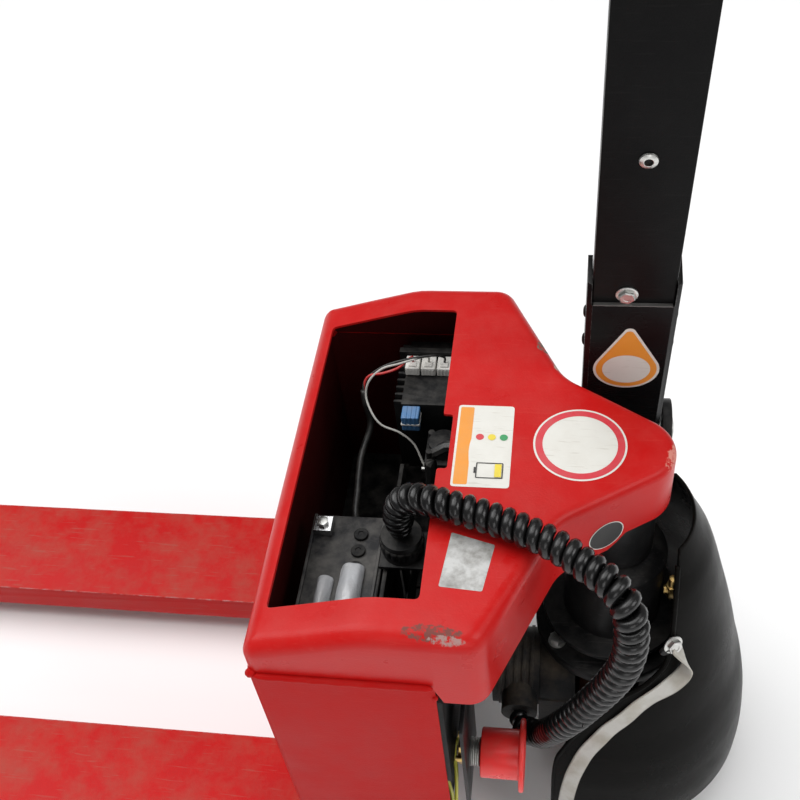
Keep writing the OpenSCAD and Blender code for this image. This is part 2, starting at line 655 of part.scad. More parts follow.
module flange_bolts() {
    color("#c9c9c4") on_axis() for (i = [0:flange_bolts_n - 1])
        rotate(-24 + i * 360 / flange_bolts_n) translate([bolt_circle, 0, flange_z]) {
            cylinder(h = 2, r = 11);
            translate([0, 0, 2]) hex_screw(9.5, 9);
        }
}
yoke_z = flange_z - flange_t - 46;
module drive_yoke() {
    color("#303030") on_axis() difference() {
        union() {
            box(-wheel_w / 2 - 7, 54, -62, 97, yoke_z, flange_z - flange_t);
            box(wheel_w / 2 + 7, 54, -45, 45, wheel_r, yoke_z + 1);
            x_rod(45, wheel_w / 2 + 7, 54, 0, wheel_r);
        }
        x_rod(drive_axle_r + run_gap, 0, 60, 0, wheel_r);
    }
}
gear_x0 = -88;
module gearbox() {
    color("#3a3d40") on_axis() difference() {
        union() {
            x_rod(68, gear_x0, -wheel_w / 2 - 7, 0, wheel_r);
            x_rod(motor_r - 2, gear_x0, -wheel_w / 2 - 7, motor_y, motor_z - 4);
            box(gear_x0, -wheel_w / 2 - 7, motor_y - 50, 48, wheel_r + 10, motor_z);
        }
        x_rod(drive_axle_r + run_gap, gear_x0 + 10, 0, 0, wheel_r);
    }
}
cable_end = cord_route[len(cord_route) - 1];
module drive_motor() {
    color("#1d1f22") on_axis() {
        x_rod(motor_r, gear_x0 - motor_len, gear_x0, motor_y, motor_z);
        for (x = [gear_x0 - motor_len + 8:10:gear_x0 - 8]) x_rod(motor_r + 2, x, x + 4, motor_y, motor_z);
        y_rod(23, cable_end[0], cable_end[1], motor_y - 30, cable_end[2]);
    }
}
module motor_brake() {
    color("#45484c") on_axis() {
        x_rod(36, gear_x0 - motor_len - 10, gear_x0 - motor_len, motor_y, motor_z);
        x_rod(14, gear_x0 - motor_len - 14, gear_x0 - motor_len - 10, motor_y, motor_z);
    }
}
module wheel_hub() {
    color("#6b6f73") on_axis() {
        x_rod(wheel_r - tyre_t, -wheel_w / 2 + 3, wheel_w / 2 - 3, 0, wheel_r);
        x_rod(34, -wheel_w / 2 - 4, wheel_w / 2 + 4, 0, wheel_r);
        x_rod(drive_axle_r, gear_x0 + 11, 54, 0, wheel_r);
        for (i = [0:4]) translate([wheel_w / 2 - 3, 0, wheel_r]) rotate([72 * i, 0, 0])
            translate([0, 52, 0]) rotate([0, 90, 0]) hex_screw(8, 5);
    }
}
module drive_tyre() {
    color("#a5301f") on_axis() translate([0, 0, wheel_r]) rotate([0, 90, 0]) rotate_extrude()
        polygon([[wheel_r - tyre_t, -wheel_w / 2], [wheel_r - 4, -wheel_w / 2],
            [wheel_r, -wheel_w / 2 + 5], [wheel_r, wheel_w / 2 - 5], [wheel_r - 4, wheel_w / 2],
            [wheel_r - tyre_t, wheel_w / 2]]);
}
// Outline of the guard's rim seen from the side: high beside the wheel, low at front and back
module guard_side() side_cut(-guard_r, guard_r) polygon([[-66, 0], [guard_r, 0],
    [guard_r, guard_top_z], [64, guard_top_z], [64, 425], [60, 395], [48, 373], [31, 361],
    [11, 348], [-9, 322], [-30, 290], [-48, 253], [-66, 203]]);
module wheel_guard() {
    inner = [for (i = [len(guard_profile) - 1:-1:0]) guard_profile[i] - [guard_wall, 0]];
    color("#141414") on_axis() {
        intersection() {
            rotate_extrude() polygon(concat(guard_profile, inner));
            guard_side();
        }
        // Web that bolts the guard under the steering flange
        intersection() {
            z_rod(guard_r - 30, 0, 0, flange_z - flange_t - 6, flange_z - flange_t);
            box(55, guard_r, -42, 42, 0, flange_z);
        }
    }
}
// Stations of the strap: angle about the steering axis, and height
strap_route = [[-61, 424], [-58, 410], [-56.1, 398], [-55.2, 385], [-55.5, 373], [-58, 359],
    [-61.7, 348], [-66, 340], [-70.5, 333], [-77, 323], [-83.7, 311], [-89, 287], [-93.4, 259],
    [-96.3, 231], [-98.6, 204], [-100.8, 170], [-102.6, 136], [-104, 100]];
strap_w = 20;
strap_t = 2;
guard_radii = [for (p = guard_profile) [p[1], p[0]]];
function on_guard(s, t) = let(r = lookup(s[1], guard_radii) + t) [r * cos(s[0]), r * sin(s[0]), s[1]];
function strap_ring(i) = let(s = strap_route[i], last = len(strap_route) - 1,
    a = on_guard(strap_route[max(i - 1, 0)], 0), b = on_guard(strap_route[min(i + 1, last)], 0),
    n = unit([cos(s[0]), sin(s[0]), 0.3]), w = unit(cross(n, b - a)) * strap_w / 2,
    p = on_guard(s, body_gap + 0.5), q = p + n * strap_t)
    [p - w, q - w, q + w, p + w];
module guard_strap() {
    m = len(strap_route);
    walls = [for (i = [0:m - 2]) for (k = [0:3]) let(a = 4 * i + k, b = 4 * i + (k + 1) % 4)
        each [[a, b, b + 4], [a, b + 4, a + 4]]];
    color("ivory") on_axis() polyhedron([for (i = [0:m - 1]) each strap_ring(i)],
        concat([[3, 2, 1, 0], [for (k = [0:3]) 4 * m - 4 + k]], walls), convexity = 4);
    head = strap_route[1];
    color("silver") on_axis() translate(on_guard(head, body_gap + 1.5)) rotate([0, 90 - 16, head[0]])
        hex_screw(9, 9);
}
foot_y = 97;
foot_t = 12;
module tiller_bracket() {
    color("#1b1b1b") on_axis() difference() {
        union() {
            box(-ear_x - 5, ear_x + 5, foot_y, foot_y + foot_t, yoke_z, 440);
            for (s = [0, 1]) mirror([s, 0, 0]) {
                front_cut(ear_x, ear_x + ear_t) polygon([[foot_y, 424], [foot_y + foot_t, 424],
                    [pivot_y + ear_r - 4, pivot_z - 15], [pivot_y - ear_r + 4, pivot_z - 15], [foot_y, 440]]);
                x_rod(ear_r, ear_x, ear_x + ear_t, pivot_y, pivot_z);
            }
        }
        x_rod(pivot_r + run_gap, -100, 100, pivot_y, pivot_z);
    }
}
module tiller_pin() {
    color("silver") on_axis() {
        x_rod(pivot_r, -ear_x - ear_t - 4, ear_x + ear_t + 4, pivot_y, pivot_z);
        for (s = [-1, 1]) x_rod(pivot_r + 5, s > 0 ? ear_x + ear_t : -ear_x - ear_t - 3,
            s > 0 ? ear_x + ear_t + 3 : -ear_x - ear_t, pivot_y, pivot_z);
    }
}
spring_turns = 6;
spring_r = pivot_r + 3.5;
module return_spring() {
    helix = [for (i = [0:spring_turns * 12]) let(a = 180 - 30 * i)
        [-24 + 8 * i / 12, pivot_y + spring_r * cos(a), pivot_z + spring_r * sin(a)]];
    color("#777777") on_axis() {
        swept_tube(helix, 2, 8);
        box(-28, 28, 109, 116, pivot_z - 100, pivot_z - 80);
        box(-26, -22, 116, pivot_y - pivot_r - 0.1, pivot_z - 92, pivot_z - 88);
        box(-26, -22, pivot_y - pivot_r - 3, pivot_y - pivot_r - 0.1, pivot_z - 92, pivot_z);
    }
}

// ---- tiller ----
module on_tiller() on_axis() translate([0, pivot_y, pivot_z]) rotate([tiller_lean, 0, 0]) children();
half_d = channel_d / 2;
channel_bend = 6;
module tiller_channel() {
    color("#151515") on_tiller() difference() {
        union() {
            linear_extrude(cheek_len) polygon([[-channel_w / 2, channel_bend - half_d],
                [channel_bend - channel_w / 2, -half_d], [channel_w / 2 - channel_bend, -half_d],
                [channel_w / 2, channel_bend - half_d], [channel_w / 2, half_d], [-channel_w / 2, half_d]]);
            x_rod(half_d, -channel_w / 2, channel_w / 2, 0, 0);
        }
        box(channel_wall - channel_w / 2, channel_w / 2 - channel_wall, channel_wall - half_d,
            half_d + 1, -half_d - 1, cheek_len + 1);
        box(channel_wall - channel_w / 2, channel_w / 2 - channel_wall, -half_d - 1,
            half_d + 1, web_len, cheek_len + 1);
        x_rod(pivot_r + run_gap, -channel_w, channel_w, 0, 0);
    }
}
tube_y = channel_wall - half_d;
module tiller_tube() {
    color("#111111") on_tiller() difference() {
        box(-tube_w / 2, tube_w / 2, tube_y, tube_y + tube_d, tube_foot, tube_top);
        box(tube_wall - tube_w / 2, tube_w / 2 - tube_wall, tube_y + tube_wall,
            tube_y + tube_d - tube_wall, tube_foot - 1, tube_top - tube_wall);
    }
}
module tiller_screws() {
    color("#9a9c9e") on_tiller() {
        translate([-7, tube_y, web_len + 14]) rotate([90, 0, 0]) hex_screw(9, 7);
        translate([0, tube_y, 470]) rotate([90, 0, 0]) difference() {
            cylinder(h = 4, r = 8);
            translate([0, 0, 1.5]) cylinder(h = 4, r = 4, $fn = 6);
        }
        for (s = [-1, 1]) for (z = [180, 230]) translate([s * channel_w / 2, 2, z])
            rotate([0, s * 90, 0]) hex_screw(8, 6);
    }
}

// ---- tiller head ----
half_w = head_w / 2;
half_h = head_d / 2;
head_wall = 4;
corner_r = 14;
shaft_y = 10 - half_h;
shaft_z = head_top - 26;
panel_z = head_z + 52;
horn_up = 14;
function round_rect(x, y, r) = concat(arc([x - r, y - r], r, 0, 90, 6), arc([r - x, y - r], r, 90, 180, 6),
    arc([r - x, r - y], r, 180, 270, 6), arc([x - r, r - y], r, 270, 360, 6));
module head_solid(t) intersection() {
    translate([0, 0, head_z + t]) linear_extrude(head_h - 2 * t) polygon(round_rect(half_w - t, half_h - t, corner_r - t));
    translate([0, half_h, (head_z + head_top) / 2]) rotate([90, 0, 0]) linear_extrude(head_d)
        polygon(round_rect(half_w - t, head_h / 2 - t, corner_r - t));
}
// Places a button of the front panel, which faces the truck
module on_panel(x, z) translate([x, -half_h, z]) rotate([90, 0, 0]) children();
button_r = 9;
module head_housing() {
    color("#181818") on_tiller() difference() {
        head_solid(0);
        head_solid(head_wall);
        x_rod(6 + run_gap, -half_w - 1, half_w + 1, shaft_y, shaft_z);
        for (x = [-22, 22]) on_panel(x, panel_z) translate([0, 0, -10]) cylinder(h = 12, r = button_r + run_gap);
        on_panel(0, panel_z + horn_up) translate([0, 0, -10]) cylinder(h = 12, r = button_r + run_gap);
        on_panel(0, head_z + 24) translate([0, 0, -10]) cylinder(h = 12, r = 10 + run_gap);
        z_rod(24 + run_gap, 0, 4, head_top - 10, head_top + 1);
    }
}
low_bar_z = head_z + 16;
high_bar_z = head_top - 18;
bar_y = 6;
module handle(s) mirror([s > 0 ? 0 : 1, 0, 0]) translate([0, bar_y, 0]) {
    x_end = handle_x - grip_r - handle_round;
    for (z = [low_bar_z, high_bar_z]) x_rod(grip_r, half_w - head_wall / 2, x_end, 0, z);
    z_rod(grip_r, x_end + handle_round, 0, low_bar_z + handle_round, high_bar_z - handle_round);
    for (t = [0, 1]) translate([x_end, 0, t > 0 ? high_bar_z - handle_round : low_bar_z + handle_round])
        mirror([0, 0, 1 - t]) rotate([90, 0, 0]) rotate_extrude(angle = 90)
        translate([handle_round, 0]) circle(r = grip_r);
}
module handles() color("#232323") on_tiller() {
    handle(-1);
    handle(1);
}
paddle_x = half_w + 1;
module throttle() {
    color("#2a2a2a") on_tiller() translate([0, shaft_y, shaft_z]) {
        x_rod(6, -paddle_x - 22, paddle_x + 22, 0, 0);
        for (s = [-1, 1]) {
            x_rod(8, s > 0 ? paddle_x : -paddle_x - 24, s > 0 ? paddle_x + 24 : -paddle_x, 0, 0);
            box(s > 0 ? paddle_x : -paddle_x - 24, s > 0 ? paddle_x + 24 : -paddle_x, -26, 0, -3, 3);
        }
    }
}
// A push button: its cap stands 4 mm proud and its stem runs in the panel
module button(x, z) on_tiller() on_panel(x, z) translate([0, 0, -head_wall - 2])
    cylinder(h = head_wall + 6, r = button_r);
module lift_button() color("#d8d8d8") button(-22, panel_z);
module lower_button() color("#d8d8d8") button(22, panel_z);
module horn_button() color("#2f6fb5") button(0, panel_z + horn_up);
module reverse_button() {
    color("red") on_tiller() {
        z_rod(24, 0, 4, head_top - head_wall - 2, head_top + 2);
        z_rod(24, 0, 4, head_top + 2, head_top + 12);
    }
}
module key_lock() {
    color("silver") on_tiller() on_panel(0, head_z + 24) {
        translate([0, 0, -head_wall - 2]) cylinder(h = head_wall + 5, r = 10);
        translate([-1, -9, 3]) cube([2, 18, 24]);
        translate([-1, -11, 14]) cube([2, 22, 14]);
    }
}

top_cover();
left_side_panel();
right_side_panel();
front_wall();
base_plate();
bulkhead();
left_fork();
right_fork();
nose_beam();
guide_sleeve();
lift_ram();
battery_pack();
battery_clamp();
controller();
controller_plugs();
contactor();
pump_motor();
oil_tank();
oil_hose();
bay_wires();
isolator_plate();
isolator_body();
isolator_knob();
cord_gland();
curly_cord();
bulkhead_bolts();
rocker_shaft();
left_pull_rod();
right_pull_rod();
left_roller_arm();
right_roller_arm();
left_load_roller();
right_load_roller();
lift_column();
oil_fitting();
turntable_bearing();
steering_flange();
flange_bolts();
drive_yoke();
gearbox();
drive_motor();
motor_brake();
wheel_hub();
drive_tyre();
wheel_guard();
guard_strap();
tiller_bracket();
tiller_pin();
return_spring();
tiller_channel();
tiller_tube();
tiller_screws();
head_housing();
handles();
throttle();
lift_button();
lower_button();
horn_button();
reverse_button();
key_lock();
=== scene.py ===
"""Electric pallet truck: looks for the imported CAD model, in metres, in the CAD's frame."""
import math

import bmesh
import bpy
from mathutils import Matrix, Vector, noise
from mathutils.geometry import delaunay_2d_cdt


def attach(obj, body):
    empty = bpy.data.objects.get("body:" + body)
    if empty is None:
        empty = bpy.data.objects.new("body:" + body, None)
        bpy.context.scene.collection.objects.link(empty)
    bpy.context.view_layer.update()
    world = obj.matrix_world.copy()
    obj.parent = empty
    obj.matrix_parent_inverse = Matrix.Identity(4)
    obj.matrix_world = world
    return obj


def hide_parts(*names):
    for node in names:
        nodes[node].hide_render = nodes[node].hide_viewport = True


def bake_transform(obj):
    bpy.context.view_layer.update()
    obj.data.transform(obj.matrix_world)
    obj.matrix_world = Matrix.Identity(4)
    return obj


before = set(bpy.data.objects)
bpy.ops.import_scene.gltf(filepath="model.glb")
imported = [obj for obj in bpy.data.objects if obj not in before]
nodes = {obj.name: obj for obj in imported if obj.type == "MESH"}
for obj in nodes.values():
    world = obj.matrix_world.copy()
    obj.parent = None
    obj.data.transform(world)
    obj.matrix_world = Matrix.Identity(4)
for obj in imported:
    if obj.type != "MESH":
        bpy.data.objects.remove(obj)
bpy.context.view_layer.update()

# ---- camera, floor and lamps ----
# The camera looks down on the operator's end from the truck's left, as a person
# standing beside it does. One wide soft light hangs overhead, with three panels round it.
def linked(name, data):
    """A new object in the scene, with the given data."""
    made = bpy.data.objects.new(name, data)
    bpy.context.scene.collection.objects.link(made)
    return made


camera_at = (0.605, -0.7546, 1.54)
camera_heading, camera_dip, camera_roll = 12.932, 47.313, -7.713
eye = bpy.data.cameras.new("camera")
eye.lens, eye.sensor_width = 48.49, 36.0
camera = linked("camera", eye)
camera.matrix_world = (
    Matrix.Translation(camera_at)
    @ Matrix.Rotation(math.radians(camera_heading), 4, "Z")
    @ Matrix.Rotation(math.radians(90 - camera_dip), 4, "X")
    @ Matrix.Rotation(math.radians(camera_roll), 4, "Z")
)
bpy.context.scene.camera = camera
bpy.context.scene.view_settings.view_transform = "Standard"


def add(tree, kind, inputs=None, **settings):
    """Adds a node. A socket given as an input is linked, and a value is set."""
    made = tree.nodes.new("ShaderNode" + kind)
    for name, value in settings.items():
        setattr(made, name, value)
    for name, value in (inputs or {}).items():
        if isinstance(value, bpy.types.NodeSocket):
            tree.links.new(value, made.inputs[name])
        else:
            made.inputs[name].default_value = value
    return made


world = bpy.data.worlds.new("studio")
bpy.context.scene.world = world
world.use_nodes = True
sky = world.node_tree
sky.nodes.clear()
rays = add(sky, "LightPath")
level = add(sky, "MapRange", {"Value": rays.outputs["Is Camera Ray"], "To Min": 0.26, "To Max": 1.0})
glow = add(sky, "Background", {"Color": (1, 1, 1, 1), "Strength": level.outputs[0]})
sky.links.new(glow.outputs[0], add(sky, "OutputWorld").inputs[0])

for name, place, aim, size, power in [
    ("left_panel", (-1.8, 0.4, 3.0), (0.5, 0, 0.5), 2.0, 30),
    ("right_panel", (2.9, -0.9, 2.7), (0.5, 0, 0.4), 1.6, 34),
    ("front_panel", (0.9, -2.8, 1.7), (0.6, 0, 0.5), 1.4, 14),
]:
    lamp = bpy.data.lights.new(name, "AREA")
    lamp.shape, lamp.size, lamp.energy = "SQUARE", size, power
    panel = linked(name, lamp)
    panel.location = place
    panel.rotation_euler = (Vector(aim) - Vector(place)).to_track_quat("-Z", "Y").to_euler()

overhead = bpy.data.lights.new("overhead", "SUN")
overhead.energy, overhead.angle = 2.1, math.radians(60)
linked("overhead", overhead).rotation_euler = (math.radians(-10), math.radians(-16), 0)


def new_material(name):
    made = bpy.data.materials.new(name)
    made.use_nodes = True
    made.node_tree.nodes.clear()
    return made


def mesh_object(name, points, faces, material, smooth=True):
    """An object with a mesh of the given points and faces."""
    mesh = bpy.data.meshes.new(name)
    mesh.from_pydata([tuple(p) for p in points], [], [tuple(f) for f in faces])
    mesh.update()
    if smooth:
        mesh.shade_smooth()
    mesh.materials.append(material)
    return linked(name, mesh)


floor_paint = new_material("pale_floor")
tree = floor_paint.node_tree
floor_shade = add(tree, "BsdfDiffuse", {"Color": (0.93, 0.93, 0.93, 1)})
tree.links.new(floor_shade.outputs[0], add(tree, "OutputMaterial").inputs[0])
reach = 12
floor = mesh_object("floor", [(-reach, -reach, 0), (reach, -reach, 0), (reach, reach, 0), (-reach, reach, 0)],
                    [(0, 1, 2, 3)], floor_paint, smooth=False)

# ---- curly cord ----
# The spiral lead from the bay over the cover's edge to the drive motor: a polyurethane
# jacket, 14 mm thick, wound into a spring. It is two pieces that meet in mid drop.
steer_x = 0.671
cord_route = [(-0.24, -0.08, 0.57), (-0.24, -0.08, 0.584), (-0.239, -0.082, 0.612),
              (-0.23, -0.088, 0.64), (-0.212, -0.097, 0.658), (-0.186, -0.108, 0.666),
              (-0.143, -0.119, 0.664), (-0.104, -0.133, 0.663), (-0.072, -0.148, 0.662),
              (-0.042, -0.168, 0.66), (-0.018, -0.188, 0.66), (-0.003, -0.206, 0.65),
              (0.003, -0.216, 0.622), (0.001, -0.22, 0.573), (-0.012, -0.216, 0.516),
              (-0.038, -0.208, 0.438), (-0.058, -0.197, 0.378), (-0.067, -0.184, 0.338),
              (-0.074, -0.171, 0.302), (-0.081, -0.16, 0.272), (-0.091, -0.149, 0.251),
              (-0.103, -0.14, 0.241), (-0.11, -0.132, 0.238), (-0.112, -0.124, 0.238),
              (-0.112, -0.118, 0.238)]
cord_outer, cord_wire, cord_pitch, turn_points = 0.035, 0.0136, 0.014, 18


def at(x, y, z):
    """A point given from the steering axis, in the truck's frame."""
    return Vector((x + steer_x, y, z))


def smooth_line(points, step):
    """Points about step apart on a smooth curve through the given ones."""
    points = [Vector(p) for p in points]
    fine = []
    for i in range(len(points) - 1):
        before, a, b = points[max(i - 1, 0)], points[i], points[i + 1]
        after = points[min(i + 2, len(points) - 1)]
        for k in range(12):
            t = k / 12
            fine.append(0.5 * ((2 * a) + (b - before) * t + (2 * before - 5 * a + 4 * b - after) * t ** 2
                               + (3 * a - before - 3 * b + after) * t ** 3))
    fine.append(points[-1])
    run = [0.0]
    for a, b in zip(fine, fine[1:]):
        run.append(run[-1] + (b - a).length)
    count, made, i = max(2, round(run[-1] / step)), [], 0
    for k in range(count + 1):
        want = run[-1] * k / count
        while i < len(run) - 2 and run[i + 1] < want:
            i += 1
        made.append(fine[i].lerp(fine[i + 1], (want - run[i]) / max(run[i + 1] - run[i], 1e-9)))
    return made


def side_frames(line):
    """Two directions across the line at each point, which don't twist along it."""
    ahead = [(line[min(i + 1, len(line) - 1)] - line[max(i - 1, 0)]).normalized() for i in range(len(line))]
    first = ahead[0].orthogonal().normalized()
    frames = []
    for i, t in enumerate(ahead):
        if i:
            first = ahead[i - 1].rotation_difference(t) @ first
            first = (first - first.dot(t) * t).normalized()
        frames.append((first.copy(), t.cross(first)))
    return frames


def tube_mesh(name, line, radius, sides, material):
    """A closed tube along a line. The radius is a number or a function of the share of the length."""
    size = radius if callable(radius) else lambda share: radius
    points, faces = [], []
    for i, (p, (u, v)) in enumerate(zip(line, side_frames(line))):
        r = size(i / (len(line) - 1))
        points += [p + r * (math.cos(2 * math.pi * k / sides) * u + math.sin(2 * math.pi * k / sides) * v)
                   for k in range(sides)]
    for i in range(len(line) - 1):
        for k in range(sides):
            a, b = i * sides + k, i * sides + (k + 1) % sides
            faces.append((a, b, b + sides, a + sides))
    faces.append(tuple(range(sides - 1, -1, -1)))
    faces.append(tuple(range(len(points) - sides, len(points))))
    return mesh_object(name, points, faces, material)


axis_line = smooth_line([at(*p) for p in cord_route], cord_pitch / turn_points)
coil_r = (cord_outer - cord_wire) / 2
winding = []
for i, (p, (u, v)) in enumerate(zip(axis_line, side_frames(axis_line))):
    ends = min(i, len(axis_line) - 1 - i) / (2 * turn_points)
    r = coil_r * min(1, 0.35 + 0.65 * ends)
    turn = 2 * math.pi * i / turn_points
    winding.append(p + r * (math.cos(turn) * u + math.sin(turn) * v))
meeting = min(range(len(axis_line)), key=lambda i: (axis_line[i] - at(-0.038, -0.208, 0.438)).length)


def group(name, inputs, output):
    """A shader node group of float sockets. Returns its tree, its inputs and its output."""
    made = bpy.data.node_groups.new(name, "ShaderNodeTree")
    for label, value in inputs.items():
        made.interface.new_socket(label, in_out="INPUT", socket_type="NodeSocketFloat").default_value = value
    made.interface.new_socket(output, in_out="OUTPUT", socket_type="NodeSocketFloat")
    return made, made.nodes.new("NodeGroupInput").outputs, made.nodes.new("NodeGroupOutput").inputs[0]


def use_group(tree, made, inputs):
    """Places a node group in a material, with its values, and returns what it puts out."""
    placed = tree.nodes.new("ShaderNodeGroup")
    placed.node_tree = made
    for name, value in inputs.items():
        placed.inputs[name].default_value = value
    return placed.outputs[0]


def speckle(tree, scale, detail=2.0, rough=0.5, where=None):
    """Noise over the object."""
    if where is None:
        where = add(tree, "TexCoord").outputs["Object"]
    made = add(tree, "TexNoise", {"Vector": where, "Scale": scale, "Detail": detail, "Roughness": rough})
    return made.outputs[0]


def ramp(tree, value, start, stop, low=0.0, high=1.0):
    """Spreads a value between start and stop over low to high."""
    return add(tree, "MapRange", {"Value": value, "From Min": start, "From Max": stop,
                                  "To Min": low, "To Max": high}).outputs[0]


def maths(tree, operation, a, b=0.5, clamp=False):
    return add(tree, "Math", {0: a, 1: b}, operation=operation, use_clamp=clamp).outputs[0]


# Uneven skin of a coated or moulded surface: broad flow under a fine grain
surface_grain, given, result = group("surface grain", {"Fine": 900.0, "Broad": 60.0, "Broad share": 0.4}, "Height")
both = add(surface_grain, "Mix", {0: given["Broad share"], 2: speckle(surface_grain, given["Fine"], 3.0, 0.6),
                                  3: speckle(surface_grain, given["Broad"])})
surface_grain.links.new(both.outputs[0], result)

# Edges rubbed by hands and loads, broken up by noise
worn_edges, given, result = group("worn edges", {"Width": 0.002, "Break up": 90.0, "Amount": 0.6}, "Mask")
rounded = add(worn_edges, "Bevel", {"Radius": given["Width"]}, samples=4)
flat = add(worn_edges, "NewGeometry").outputs["Normal"]
bend = add(worn_edges, "VectorMath", {0: rounded.outputs[0], 1: flat}, operation="DOT_PRODUCT")
edge = ramp(worn_edges, maths(worn_edges, "SUBTRACT", 1.0, bend.outputs["Value"]), 0.03, 0.16)
patch = ramp(worn_edges, speckle(worn_edges, given["Break up"], 5.0, 0.7), 0.42, 0.62)
rub = maths(worn_edges, "MULTIPLY", edge, patch)
worn_edges.links.new(maths(worn_edges, "MULTIPLY", rub, given["Amount"], True), result)

# Dust that lies on what faces up, thicker in blotches
settled_dust, given, result = group("settled dust", {"Blotches": 25.0, "Amount": 0.3}, "Mask")
up = add(settled_dust, "SeparateXYZ", {0: add(settled_dust, "NewGeometry").outputs["Normal"]})
up = ramp(settled_dust, up.outputs["Z"], 0.1, 0.9, 0.15)
blotch = ramp(settled_dust, speckle(settled_dust, given["Blotches"], 6.0, 0.65), 0.4, 0.75)
lies = maths(settled_dust, "MULTIPLY", up, blotch)
settled_dust.links.new(maths(settled_dust, "MULTIPLY", lies, given["Amount"], True), result)

# Fine straight scratches in two directions
scratches, given, result = group("scratches", {"Scale": 30.0, "Amount": 0.3}, "Mask")
lines = []
for turn in [(0.3, 0.2, 0.5), (1.1, -0.4, 2.1)]:
    along = add(scratches, "Mapping", {"Vector": add(scratches, "TexCoord").outputs["Object"], "Rotation": turn,
                                       "Scale": (1.0, 14.0, 14.0)})
    lines.append(ramp(scratches, speckle(scratches, given["Scale"], where=along.outputs[0]), 0.66, 0.71))
any_line = maths(scratches, "MAXIMUM", *lines)
scratches.links.new(maths(scratches, "MULTIPLY", any_line, given["Amount"]), result)


def rgba(colour, share=1.0):
    return tuple(c * share for c in colour) + (1.0,)


def mixed(tree, mask, below, above, kind="RGBA"):
    """One colour or value over another, where the mask is 1."""
    first = 6 if kind == "RGBA" else 2
    made = add(tree, "Mix", {0: mask, first: below, first + 1: above}, data_type=kind)
    return made.outputs[2 if kind == "RGBA" else 0]


def lay(tree, under, mask, colour, rough):
    """Lays a colour and its roughness over those under it, where the mask is 1."""
    return mixed(tree, mask, under[0], rgba(colour)), mixed(tree, mask, under[1], rough, "FLOAT")


def surface(name, colour, rough, vary=0.12, grain=(900.0, 60.0, 0.4, 0.0004), wear=None, dust=None, scratch=None,
            metal=0.0, shine=0.5, patches=(), sheen=0.0):
    """A finish: its colour varies a little, and scratches, wear and dust lie over it.
    grain is (fine, broad, broad share, height), wear is (width, break up, amount, colour, roughness),
    dust is (blotches, amount, colour), scratch is (scale, amount, colour), and a patch is
    (centre, radius, stretch, amount, colour)."""
    made = new_material(name)
    tree = made.node_tree
    tone = speckle(tree, 14.0, 5.0, 0.6)
    look = (mixed(tree, tone, rgba(colour, 1 - vary), rgba(colour, 1 + vary)),
            ramp(tree, tone, 0.3, 0.7, rough * 0.8, min(1.0, rough * 1.25)))
    if scratch:
        mask = use_group(tree, scratches, {"Scale": scratch[0], "Amount": scratch[1]})
        look = lay(tree, look, mask, scratch[2], min(1.0, rough + 0.25))
    if wear:
        mask = use_group(tree, worn_edges, {"Width": wear[0], "Break up": wear[1], "Amount": wear[2]})
        look = lay(tree, look, mask, wear[3], wear[4])
    for centre, radius, stretch, amount, patch_colour in patches:
        place = add(tree, "Mapping", {"Vector": add(tree, "TexCoord").outputs["Object"], "Scale": stretch,
                                      "Location": tuple(-c * s for c, s in zip(centre, stretch))})
        far = add(tree, "VectorMath", {0: place.outputs[0]}, operation="LENGTH")
        near = ramp(tree, far.outputs["Value"], radius, radius * 0.45)
        flake = maths(tree, "MULTIPLY", speckle(tree, 160.0, 6.0, 0.75), near)
        look = lay(tree, look, ramp(tree, flake, 0.42, 0.5, 0.0, amount), patch_colour, 0.7)
    if dust:
        mask = use_group(tree, settled_dust, {"Blotches": dust[0], "Amount": dust[1]})
        look = lay(tree, look, mask, dust[2], 0.85)
    height = use_group(tree, surface_grain, {"Fine": grain[0], "Broad": grain[1], "Broad share": grain[2]})
    bump = add(tree, "Bump", {"Height": height, "Distance": grain[3]})
    shader = add(tree, "BsdfPrincipled", {"Base Color": look[0], "Roughness": look[1], "Metallic": metal,
                                          "Normal": bump.outputs[0], "Specular IOR Level": shine,
                                          "Sheen Weight": sheen})
    tree.links.new(shader.outputs[0], add(tree, "OutputMaterial").inputs[0])
    return made


dust_grey, dust_brown = (0.33, 0.31, 0.28), (0.22, 0.17, 0.12)
cord_black = surface("cord_jacket", (0.004, 0.004, 0.0044), 0.24, grain=(1400.0, 120.0, 0.5, 0.00012),
                     dust=(45.0, 0.03, dust_grey), shine=0.42)
for name, first, last, bodies, start, end in [
    ("curly_cord_upper", 0, meeting, ("root", "lift_carrier"), at(-0.018, -0.188, 0.66), at(0.056, -0.262, 0.512)),
    ("curly_cord_lower", meeting, len(winding) - 1, ("lift_carrier", "drive_unit"),
     at(-0.05, -0.202, 0.4), at(-0.095, -0.15, 0.255)),
]:
    part_line = winding[first:last + 1]
    cord = tube_mesh(name, part_line, cord_wire / 2, 10, cord_black)
    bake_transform(cord)
    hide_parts("curly_cord")
    long = sum((b - a).length for a, b in zip(part_line, part_line[1:]))

# ---- top cover ----
# The red cover over the battery and the lift column: 3 mm sheet steel, pressed and welded,
# with rounded edges, a cut-out over the battery bay and a nose round the column.
cover_face, shoulder, waist = -0.381, (-0.138, 0.252), (-0.068, 0.103)
nose_centre, nose_r, cover_top, cover_sheet = 0.006, 0.047, 0.64, 0.003
slope_end, slope_drop = -0.251, 0.04


def cover_height(x, y=0.0):
    """Height of the cover's top: flat, then sloping down to the forks, with a soft crease."""
    run, soft = slope_end - x, 0.012
    down = 0.0 if run < -soft else (run + soft) ** 2 / (4 * soft) if run < soft else run
    drop = down * slope_drop / 0.13
    dents = noise.noise(Vector((x, y, 0.3)) * 9) * 0.0007
    return cover_top - 0.0003 - drop + dents


